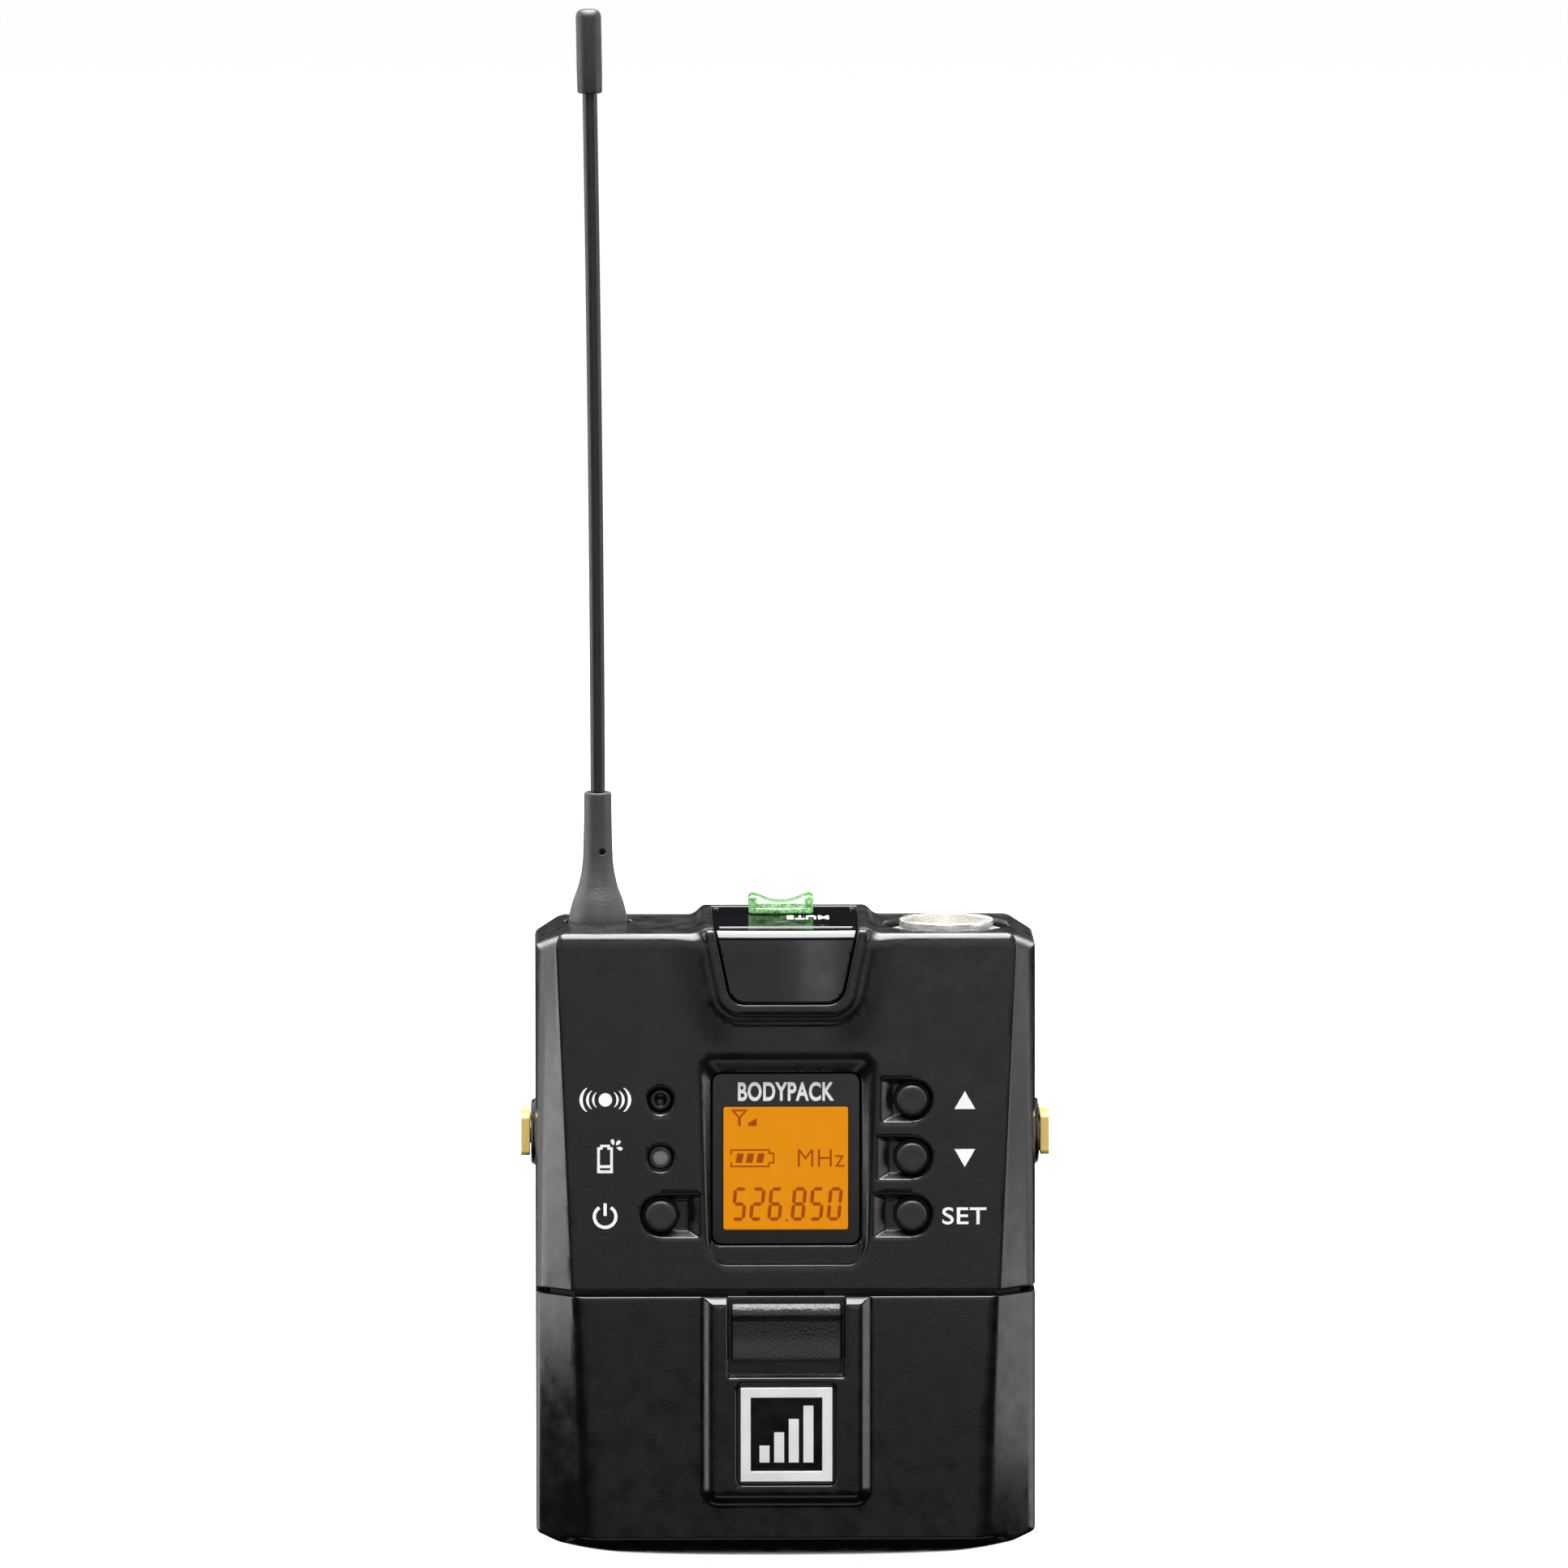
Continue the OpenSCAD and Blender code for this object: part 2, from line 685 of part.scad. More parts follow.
// Room for the plates at the bay's ends, and the way up to the board for their tails
module contact_slots() {
    translate([-bay_half, bay_y - plate_half - 0.1, lower_z - plate_half - 0.1])
        cube([plate_t + 0.1, 2 * plate_half + 0.2, cell_pitch + 2 * plate_half + 0.2]);
    for (y = tail_y) translate([bay_half - 1, y - 1.2, lower_z - plate_half - 0.1])
        cube([1 + eps, 2.4, 50]);
}

// Room behind the door's latch
module latch_room() {
    translate([-5, -big, -21.5 - latch_travel]) cube([10, big - 17.6, 30]);
}

// A cell with its positive end at +X, drawn about its own middle
module cell() {
    rod_x(cell_r, -cell_l / 2, cell_l / 2 - 1, 0, 0);
    rod_x(2.7, cell_l / 2 - 1.1, cell_l / 2, 0, 0);
}

module upper_cell() color("#3c5a8c") translate([spring_l / 2, bay_y, upper_z]) cell();

module lower_cell() color("#3c5a8c") translate([-spring_l / 2, bay_y, lower_z]) mirror([1, 0, 0]) cell();

// A coned spring, drawn from its plate at x = 0 towards +X
module cell_spring() rotate([0, 90, 0]) difference() {
    cylinder(r1 = 3.6, r2 = 2.8, h = spring_l);
    translate([0, 0, -1]) cylinder(r1 = 3.2, r2 = 1.7, h = spring_l + 2);
}

module cell_springs() color("#c8c9cb") {
    translate([-bay_half + plate_t, bay_y, upper_z]) cell_spring();
    translate([bay_half - plate_t, bay_y, lower_z]) mirror([1, 0, 0]) cell_spring();
}

// Plate that joins the two cells in series
module series_plate() color("#cfd0d2")
    translate([-bay_half, bay_y - plate_half, lower_z - plate_half])
        cube([plate_t, 2 * plate_half, cell_pitch + 2 * plate_half]);

// Positive and negative plates with their tails
module contact_plates() color("#cfd0d2") translate([bay_half - plate_t, 0, 0]) {
    translate([0, bay_y - plate_half, upper_z - plate_half]) cube([plate_t, 2 * plate_half, 2 * plate_half]);
    translate([0, tail_y[0] - tail_w / 2, upper_z]) cube([plate_t, tail_w, -13.6 - upper_z]);
    translate([0, bay_y - plate_half, lower_z - plate_half])
        cube([plate_t, tail_y[1] + tail_w / 2 - bay_y + plate_half, 2 * plate_half]);
    translate([0, tail_y[1] - tail_w / 2, lower_z]) cube([plate_t, tail_w, -20 - lower_z]);
}

module battery_door() color("#242426") difference() {
    union() {
        difference() {
            door_block(0);
            door_block(door_wall);
        }
        // Raised middle of the door
        difference() {
            translate([0, 0, column_low]) linear_extrude(door_z - column_low) polygon([
                [-column_half - column_flank, door_y + 0.2], [-column_half, column_y],
                [column_half, column_y], [column_half + column_flank, door_y + 0.2]
            ]);
            translate([-big, column_y, door_z - 0.9]) rotate([40, 0, 0]) translate([0, -3, 0])
                cube([2 * big, 3.2, 3]);
            translate([-big, column_y, column_low + 1.6]) rotate([-35, 0, 0]) translate([0, -3, -3])
                cube([2 * big, 3, 3]);
        }
        intersection() {
            both_sides() rod_x(curl_r - door_wall + 0.2, ear_x[0], ear_x[1], hinge_y, hinge_z);
            door_block(0);
        }
    }
    band_z(door_z, big);
    // The curl is open above the hinge and round the tray's knuckles
    translate([-big, hinge_y - 2.4, hinge_z + 1.6]) cube([2 * big, 10, 2.6]);
    both_sides() translate([knuckle_x[0] - 0.3, hinge_y - 1.9, -big])
        cube([knuckle_x[1] - knuckle_x[0] + 0.6, 10, big + hinge_z + 3]);
    both_sides() rod_x(pin_d / 2 + eps, ear_x[0] - 1, ear_x[1] + 1, hinge_y, hinge_z);
    // Latch pocket, the slot for its stem, and the badge's recess
    slab_y(column_y - 1, latch_floor) translate([-latch_pocket_half, latch_pocket_low])
        square([2 * latch_pocket_half, big]);
    translate([-latch_stem_half - 0.25, column_y, latch_slot_low])
        cube([2 * latch_stem_half + 0.5, 4, latch_stem_top + 0.3 - latch_slot_low]);
    translate([-0.7, column_y, latch_slot_low - spring_room]) cube([1.4, 4, spring_room + eps]);
    slab_y(column_y - 1, badge_floor) badge_outline(0.1, 0.9);
}

module badge_outline(g = 0, r = 0.15) {
    height = badge_z[1] - badge_z[0];
    round_rect(2 * (badge_half + g), height + 2 * g, r, [0, (badge_z[0] + badge_z[1]) / 2]);
}

module door_pins() color("#a7a9ab")
    both_sides() rod_x(pin_d / 2, knuckle_x[0], ear_x[1], hinge_y, hinge_z);

module door_latch() color("#303032") {
    difference() {
        slab_y(column_y + 0.25, latch_floor - 0.2) translate([-latch_half, latch_low])
            square([2 * latch_half, latch_top - latch_low]);
        // Sloping thumb ridge
        translate([-big, column_y + 0.25, latch_top - 1.2]) rotate([35, 0, 0]) translate([0, -3, 0])
            cube([2 * big, 3, 3]);
    }
    // Stem through the door and the plate that keeps it there
    translate([-latch_stem_half, latch_floor - 0.3, latch_stem_low])
        cube([2 * latch_stem_half, 1.9, latch_stem_top - latch_stem_low]);
    translate([-latch_stem_half - 1, latch_floor + 1.3, latch_stem_low])
        cube([2 * latch_stem_half + 2, 0.8, latch_stem_top - latch_stem_low]);
}

// Return spring under the latch's stem, in the door's slot
module latch_spring() color("#c8c9cb")
    translate([0, latch_floor + 0.5, latch_slot_low - spring_room + eps]) difference() {
        cylinder(r = 0.45, h = latch_stem_low - latch_slot_low + spring_room - 2 * eps);
        translate([0, 0, -1]) cylinder(r = 0.25, h = 5);
    }

module badge_frame() color("#e2e2e0") slab_y(badge_floor - 0.75, badge_floor) difference() {
    badge_outline(-0.45);
    badge_outline(-0.45 - badge_ring);
}

module badge_plate() color("#141415")
    slab_y(badge_floor - 0.4, badge_floor) badge_outline(-0.5 - badge_ring);

// Four rising level bars
module badge_bars() color("#d9d9d7") for (i = [0 : 3])
    translate([-3.5 + 1.9 * i, badge_floor - 0.55, -38.4]) cube([1.3, 0.15, 2.2 + 1.75 * i]);

// Side view of the clip's tongue, as the line of its inner face
function tongue_line() = [
    [belt_gap, bar_h], [belt_gap, tongue_bend], [belt_gap - 1.6, tongue_bend - 3.5],
    [belt_gap - 3.2, tongue_bend - 6.5], [belt_gap - 3.7, tongue_bend - 8.5],
    [belt_gap - 3.1, tongue_bend - 10.3], [belt_gap - 1.2, -tongue_l]
];

module belt_clip() color("#edd090") {
    inner = tongue_line();
    last = len(inner) - 1;
    slab_x(-tongue_w / 2, tongue_w / 2) polygon(concat(
        inner, [for (i = [last : -1 : 0]) inner[i] + [clip_t, 0]]));
    translate([-arm_x - clip_t, belt_gap, 0]) cube([2 * (arm_x + clip_t), clip_t, bar_h]);
    both_sides() difference() {
        slab_x(arm_x, arm_x + clip_t) {
            translate([arm_front + arm_corner, arm_low]) square([arm_turn - arm_front - arm_corner, arm_h]);
            translate([arm_front, arm_low + arm_corner]) square([2 * arm_corner, arm_h - 2 * arm_corner]);
            for (z = [arm_low + arm_corner, arm_low + arm_h - arm_corner])
                translate([arm_front + arm_corner, z]) circle(arm_corner);
            polygon([
                [arm_turn, arm_low], [arm_turn, arm_low + arm_h], [belt_gap + clip_t, bar_h],
                [belt_gap + clip_t, 0], [0, 0]
            ]);
        }
        rod_x(stud_r, 0, big, pivot_y, pivot_z);
    }
}

module clip_studs() color("#cdb074")
    both_sides() rod_x(stud_r, half_w - wall - 0.6, arm_x + clip_t, pivot_y, pivot_z);

front_shell();
rear_cover();
case_screws();
display_lens();
lcd_panel();
lcd_backlight();
lcd_holder();
power_button();
up_button();
down_button();
set_button();
tact_switches();
led_lens();
status_led();
ir_window();
ir_receiver();
mute_insert();
mute_slider();
mute_switch();
main_board();
board_screws();
rf_shield();
board_chips();
antenna_ferrule();
antenna_feed();
antenna_boot();
antenna_whip();
antenna_cap();
mic_barrel();
mic_nut();
mic_insulator();
mic_pins();
mic_flex();
battery_tray();
upper_cell();
lower_cell();
cell_springs();
series_plate();
contact_plates();
battery_door();
door_pins();
door_latch();
latch_spring();
badge_frame();
badge_plate();
badge_bars();
belt_clip();
clip_studs();
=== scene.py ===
"""Looks of the wireless bodypack transmitter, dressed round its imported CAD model.

The mouldings are distance fields: solids worked out on a grid, in millimetres, whose edges and inner corners
are rounded as a mould would leave them. Prints and display segments are flat outlines, turned pieces are
lathed, and the other CAD nodes keep their shape and get broken edges. Frame: +X to the right, +Y to the
back, +Z up, with the origin on the back face of the case where the belt's upper edge bears.
"""
import json
import math

import bmesh
import bpy
import numpy as np
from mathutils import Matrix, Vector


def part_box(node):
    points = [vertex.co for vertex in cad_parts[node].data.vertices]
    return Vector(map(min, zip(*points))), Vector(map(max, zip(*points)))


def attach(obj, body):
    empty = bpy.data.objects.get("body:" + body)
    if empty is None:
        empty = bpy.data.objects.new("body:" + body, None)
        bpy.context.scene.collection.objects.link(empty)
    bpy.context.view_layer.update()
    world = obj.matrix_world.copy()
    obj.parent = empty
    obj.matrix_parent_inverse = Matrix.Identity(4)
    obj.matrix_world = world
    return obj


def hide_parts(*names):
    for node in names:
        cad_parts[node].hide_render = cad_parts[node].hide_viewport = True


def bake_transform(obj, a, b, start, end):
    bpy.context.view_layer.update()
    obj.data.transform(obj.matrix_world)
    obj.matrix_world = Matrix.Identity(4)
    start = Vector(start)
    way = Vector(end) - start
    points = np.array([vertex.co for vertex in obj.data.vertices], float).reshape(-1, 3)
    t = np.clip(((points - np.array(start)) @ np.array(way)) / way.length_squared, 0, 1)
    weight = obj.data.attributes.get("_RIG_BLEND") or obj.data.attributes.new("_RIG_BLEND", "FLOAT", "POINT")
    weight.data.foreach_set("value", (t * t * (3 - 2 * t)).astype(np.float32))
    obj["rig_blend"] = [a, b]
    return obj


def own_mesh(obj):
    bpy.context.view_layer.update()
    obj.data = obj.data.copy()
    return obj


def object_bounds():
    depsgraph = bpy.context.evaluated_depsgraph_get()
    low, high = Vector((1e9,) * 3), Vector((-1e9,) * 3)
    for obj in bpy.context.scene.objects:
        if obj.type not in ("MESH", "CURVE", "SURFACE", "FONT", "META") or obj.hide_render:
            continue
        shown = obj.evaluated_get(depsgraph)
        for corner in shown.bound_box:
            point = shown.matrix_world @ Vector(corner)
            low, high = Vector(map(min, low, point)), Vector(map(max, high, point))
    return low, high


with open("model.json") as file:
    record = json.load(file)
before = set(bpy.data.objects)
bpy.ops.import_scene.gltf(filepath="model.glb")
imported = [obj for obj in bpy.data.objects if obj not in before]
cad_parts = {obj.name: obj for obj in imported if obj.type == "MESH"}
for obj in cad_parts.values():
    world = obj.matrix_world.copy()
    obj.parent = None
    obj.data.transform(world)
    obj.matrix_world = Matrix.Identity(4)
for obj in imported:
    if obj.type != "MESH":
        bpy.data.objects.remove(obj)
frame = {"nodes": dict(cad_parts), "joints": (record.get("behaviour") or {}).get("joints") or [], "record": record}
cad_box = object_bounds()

import openvdb as vdb
from mathutils import Matrix, Vector

MM = 0.001
VOXEL = 0.14
FINE_VOXEL = 0.08
ADAPTIVITY = 0.02


def mm_box(node):
    """Lowest and highest corner of a CAD node, in millimetres."""
    low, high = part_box(node)
    return np.array(low) / MM, np.array(high) / MM


def mm_centre(node):
    low, high = mm_box(node)
    return (low + high) / 2


# Levels of the case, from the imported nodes
LENS_LOW, LENS_HIGH = mm_box("display_lens")
LENS_DEPTH = 1.7
FRONT_Y = LENS_LOW[1] - LENS_DEPTH
BOOT_WELL = 0.7
TOP_Z = mm_box("antenna_boot")[0][2] + BOOT_WELL
DOOR_LOW, DOOR_HIGH = mm_box("battery_door")
BOTTOM_Z, DOOR_Z = DOOR_LOW[2], DOOR_HIGH[2]
HALF_W = DOOR_HIGH[0]
SHELL_Z = mm_box("front_shell")[0][2]
COVER_Y = mm_box("front_shell")[1][1]
WALL = 1.5

# Corners and facets of the case
CHAMFER_X, CHAMFER_Z = 3.4, 2.2
FOOT_RISE, FOOT_SLOPE = 3.85, math.radians(21.1)
BOTTOM_R = 270.0
FACET_W, FACET_GROW = 2.6, 0.0465
FACET_D, FACET_THIN = 5.4, 0.025
TOP_EDGE = 1.3


class Space:
    """A grid of points, in millimetres. A solid on it is an array of distances, negative inside."""

    def __init__(self, low, high, step):
        self.step = step
        axes = [np.arange(a - 3 * step, b + 3.5 * step, step, dtype=np.float32) for a, b in zip(low, high)]
        self.low = np.array([axis[0] for axis in axes], float)
        self.set_axes(axes)

    def set_axes(self, axes):
        self.axes = axes
        self.x = axes[0][:, None, None]
        self.y = axes[1][None, :, None]
        self.z = axes[2][None, None, :]

    def near(self, low, high):
        """The part of the grid between two corners, and its place in the whole."""
        where = tuple(slice(*np.searchsorted(axis, (a, b))) for axis, a, b in zip(self.axes, low, high))
        part = object.__new__(Space)
        part.step = self.step
        part.set_axes([axis[w] for axis, w in zip(self.axes, where)])
        return part, where


def both(a, b, r=0.0):
    """What lies inside both solids, with the edge between them rounded."""
    if not r:
        return np.maximum(a, b)
    return np.minimum(-r, np.maximum(a, b)) + np.hypot(np.maximum(a + r, 0), np.maximum(b + r, 0))


def either(a, b, r=0.0):
    """What lies inside one solid or the other, with a fillet in the corner between them."""
    if not r:
        return np.minimum(a, b)
    return np.maximum(r, np.minimum(a, b)) - np.hypot(np.maximum(r - a, 0), np.maximum(r - b, 0))


def without(a, b, r=0.0):
    return both(a, -b, r)


def rod(u, v, centre, radius):
    """A round rod along the axis that isn't among u and v."""
    return np.hypot(u - centre[0], v - centre[1]) - radius


def rounded_box(u, v, centre, half, r):
    """A prism with round corners, from its cross-section's half sizes."""
    du, dv = np.abs(u - centre[0]) - half[0] + r, np.abs(v - centre[1]) - half[1] + r
    return np.hypot(np.maximum(du, 0), np.maximum(dv, 0)) + np.minimum(np.maximum(du, dv), 0) - r


def slab(u, low, high):
    return np.maximum(low - u, u - high)


def ease(t):
    """0 to 1, starting and ending gently."""
    t = np.clip(t, 0, 1)
    return t * t * (3 - 2 * t)


def case_outline(s, inset=0.0):
    """Front view of the case, as a prism along Y, moved inwards."""
    side = np.abs(s.x)
    run = math.hypot(CHAMFER_X, CHAMFER_Z)
    chamfer = ((side - HALF_W) * CHAMFER_Z + (s.z - TOP_Z + CHAMFER_Z) * CHAMFER_X) / run
    foot = (side - HALF_W) * math.sin(FOOT_SLOPE) - (s.z - BOTTOM_Z - FOOT_RISE) * math.cos(FOOT_SLOPE)
    arc = np.hypot(s.x, s.z - BOTTOM_Z - BOTTOM_R) - BOTTOM_R
    form = both(side - HALF_W, chamfer, 0.35)
    form = both(form, s.z - TOP_Z, 0.35)
    form = both(form, foot, 0.5)
    return both(form, arc, 1.5) + inset


def facet(s, inset=0.0):
    """What lies inside the slanted facets beside the front face. Each twists a little along its height."""
    down = TOP_Z - s.z
    width, depth = FACET_W + FACET_GROW * down, FACET_D - FACET_THIN * down
    slant = (np.abs(s.x) - HALF_W + width) * depth - (s.y - FRONT_Y) * width
    return slant / np.hypot(width, depth) + inset


def edit(s, form, low, high, change):
    """Changes a form between two corners only."""
    part, where = s.near(low, high)
    form[where] = change(part, form[where])


def joint_at(name):
    """Where a joint lies, in millimetres."""
    return next(np.array(j["pos_m"]) / MM for j in frame["joints"] if j["name"] == name)


def mesh_object(name, points, faces, smooth=True):
    """A mesh object from points in millimetres and arrays of faces, each array of one kind of polygon."""
    mesh = bpy.data.meshes.new(name)
    sizes = np.concatenate([np.full(len(f), f.shape[1]) for f in faces])
    corners = np.concatenate([f.ravel() for f in faces])
    mesh.vertices.add(len(points))
    mesh.vertices.foreach_set("co", (np.asarray(points) * MM).astype(np.float32).ravel())
    mesh.loops.add(len(corners))
    mesh.loops.foreach_set("vertex_index", corners.astype(np.int32))
    mesh.polygons.add(len(sizes))
    mesh.polygons.foreach_set("loop_start", (np.cumsum(sizes) - sizes).astype(np.int32))
    mesh.polygons.foreach_set("use_smooth", np.full(len(sizes), smooth))
    mesh.update(calc_edges=True)
    mesh.validate()
    piece = bpy.data.objects.new(name, mesh)
    bpy.context.scene.collection.objects.link(piece)
    return piece


def sampled(form, at):
    """A field's value at places between its grid points."""
    base = np.clip(np.floor(at).astype(int), 0, np.array(form.shape) - 2)
    part = at - base
    total = np.zeros(len(at))
    for corner in np.ndindex(2, 2, 2):
        share = np.prod(np.where(corner, part, 1 - part), axis=1)
        total += share * form[tuple((base + corner).T)]
    return total


def moulded(name, s, form):
    """The surface of a field as a mesh object, shaded by the field's own slope."""
    band = 3 * s.step
    grid = vdb.FloatGrid(band)
    grid.copyFromArray(np.clip(form, -band, band).astype(np.float32))
    points, triangles, quads = grid.convertToPolygons(isovalue=0.0, adaptivity=ADAPTIVITY)
    points = points * s.step + s.low
    piece = mesh_object(name, points, [f for f in (triangles, quads) if len(f)])
    at = (points - s.low) / s.step
    slope = np.stack([sampled(form, at + way) - sampled(form, at - way) for way in np.eye(3)], 1)
    slope /= np.maximum(np.linalg.norm(slope, axis=1, keepdims=True), 1e-6)
    piece.data.normals_split_custom_set_from_vertices(slope.tolist())
    return piece


# Mute insert and its collar
INSERT_LOW, INSERT_HIGH = mm_box("mute_insert")
INSERT_EDGE = TOP_Z + 0.4
INSERT_T = 1.2
INSERT_CROWN = 125.0
DOME_Y, DOME_RUN = -5.0, 11.0
DOME_RISE = INSERT_HIGH[2] - INSERT_EDGE
DOME_R = (DOME_RUN ** 2 + DOME_RISE ** 2) / (2 * DOME_RISE)
INSERT_TAPER = 0.207
INSERT_HALF = 9.1


def insert_prism(s, grow=0.0, r=0.0):
    """Front view of the mute insert, a prism along Y that widens upwards, with its lower corners rounded."""
    slope = math.hypot(1, INSERT_TAPER)
    side = (np.abs(s.x) - INSERT_HALF - (s.z - TOP_Z) * INSERT_TAPER) / slope
    return both(side - grow, INSERT_LOW[2] - s.z - grow, r + grow)


def under_dome(s, grow=0.0):
    dome = np.hypot(s.y - DOME_Y, s.z - INSERT_HIGH[2] + DOME_R) - DOME_R - grow
    return either(dome, s.z - INSERT_EDGE - grow)


def top_collar(s, y0, y1):
    """The raised surround of the mute insert, behind the front shell."""
    form = both(insert_prism(s, 1.6, 1.0), y0 - s.y)
    return both(both(form, under_dome(s, 0.1), 0.8), s.y - y1, 0.15)


# Keys and lamps
KEYS = {name: mm_centre(name + "_button") for name in ("power", "up", "down", "set")}
LAMPS = {name: mm_centre(name) for name in ("ir_window", "led_lens")}
WELL_R, WELL_FLOOR_R, WELL_DEPTH = 2.75, 2.4, 1.0
LAMP_WELL_R, LAMP_FLOOR_R, LAMP_DEPTH = 1.85, 1.55, 0.9
SCOOP_HALF, SCOOP_DEPTH, SCOOP_SLOPE = 2.9, 1.15, 0.72

# Recess round the display: half widths at its top and low ends, and its floor
RECESS_TOP, RECESS_LOW = 14.3, -12.3
RECESS_HALF_TOP, RECESS_HALF_LOW = 11.45, 10.35
RECESS_FLOOR, RECESS_X = 1.35, 0.2


def recess(s):
    """The dished surround of the display."""
    deep = s.y - FRONT_Y
    share = deep / RECESS_FLOOR
    height = (s.z - RECESS_LOW) / (RECESS_TOP - RECESS_LOW)
    outer = RECESS_HALF_LOW + (RECESS_HALF_TOP - RECESS_HALF_LOW) * height
    inner = LENS_HIGH[0] + 0.05
    side = (np.abs(s.x - RECESS_X * (1 - share)) - outer - (inner - outer) * share) / 1.5
    above = (s.z - RECESS_TOP - (LENS_HIGH[2] + 0.2 - RECESS_TOP) * share) / 1.8
    below = (RECESS_LOW - s.z - (RECESS_LOW - LENS_LOW[2] + 0.2) * -share) / 2.4
    form = both(side, above, 1.0)
    form = both(form, below, 1.6)
    return both(form, deep - RECESS_FLOOR, 0.15)


def key_well(s, centre, end_x):
    """The round well of a key, and the dish that runs from it to end_x, towards the display."""
    x, z = centre[0], centre[2]
    deep = s.y - FRONT_Y
    radius = WELL_R - (WELL_R - WELL_FLOOR_R) * np.clip(deep / WELL_DEPTH, -0.3, 1)
    well = both(np.hypot(s.x - x, s.z - z) - radius, deep - WELL_DEPTH, 0.1)
    toward = math.copysign(1, end_x - x)
    along = (s.x - x) * toward
    length = abs(end_x - x)
    floor = np.minimum((length - along) * SCOOP_SLOPE, SCOOP_DEPTH)
    half = SCOOP_HALF - 0.75 * np.clip(deep, -0.3, 1)
    dish = both(np.abs(s.z - z) - half, (deep - floor) / 1.22, 0.1)
    dish = both(dish, -along)
    return either(well, dish)


# Sockets, pivots and screws
MIC = mm_centre("mic_barrel")
MIC_FLOOR = mm_box("mic_nut")[0][2]
MIC_SEAT = mm_box("mic_barrel")[1][2] - 4.8
BARREL_R, RECESS_R, SEAT_R = 6.1, 8.2, 9.3
ANTENNA = mm_centre("antenna_boot")
BOOT_BASE = TOP_Z - BOOT_WELL
PIVOT = joint_at("clip_hinge")
BOSS_R, BOSS_OUT, STUD_R = 4.3, 0.6, 1.5
SCREW_X = 27.6
SCREW_Z = (10.0, -11.0)
SCREWS = [(side * SCREW_X, z) for side in (-1, 1) for z in SCREW_Z]
BOARD_Y = mm_box("main_board")[0][1]
POSTS = [(-21.0, 20.5), (-21.5, -11.0), (21.5, -11.0)]
SLIDER_LOW, SLIDER_HIGH = mm_box("mute_slider")
SLOT_HALF = (2.75, 1.25)
SLOT_CENTRE = ((SLIDER_LOW[0] + SLIDER_HIGH[0]) / 2 + 1.0, (SLIDER_LOW[1] + SLIDER_HIGH[1]) / 2)


def slider_slot(s):
    return rounded_box(s.x, s.y, SLOT_CENTRE, SLOT_HALF, 0.3)


def outer_front(s):
    """The front shell's outside: facets, rounded edges and the collar round the mute insert."""
    away = np.abs(s.x) - INSERT_HALF - 2.2 - (s.z - TOP_Z) * INSERT_TAPER
    swell = SWELL * np.exp(-(away / SWELL_W) ** 2) * ease((s.z - 15) / 8) * ease((TOP_Z - s.z) / 1.5)
    raised = both(insert_prism(s, 1.6, 1.0), under_dome(s, 0.1), 0.8)
    form = both(either(case_outline(s), raised, 1.7), both(FRONT_Y - s.y - swell, facet(s), 0.2), TOP_EDGE)
    apron = both(both(insert_prism(s, 2.5, 1.0), s.z - TOP_Z + 1.2, 1.0), FRONT_Y - 0.25 - s.y, 0.4)
    form = either(form, apron, 0.5)
    form = either(form, both(raised, FRONT_Y - 0.5 - s.y, 0.5), 0.3)
    return both(form, s.y - COVER_Y, 0.2)


SWELL, SWELL_W = 0.3, 2.4


def edit_front(s, form, centre, half_x, half_z, change):
    """Changes the form in a block round a place on the front face."""
    low = (centre[0] - half_x, FRONT_Y - 2, centre[2] - half_z)
    high = (centre[0] + half_x, FRONT_Y + 4, centre[2] + half_z)
    edit(s, form, low, high, change)


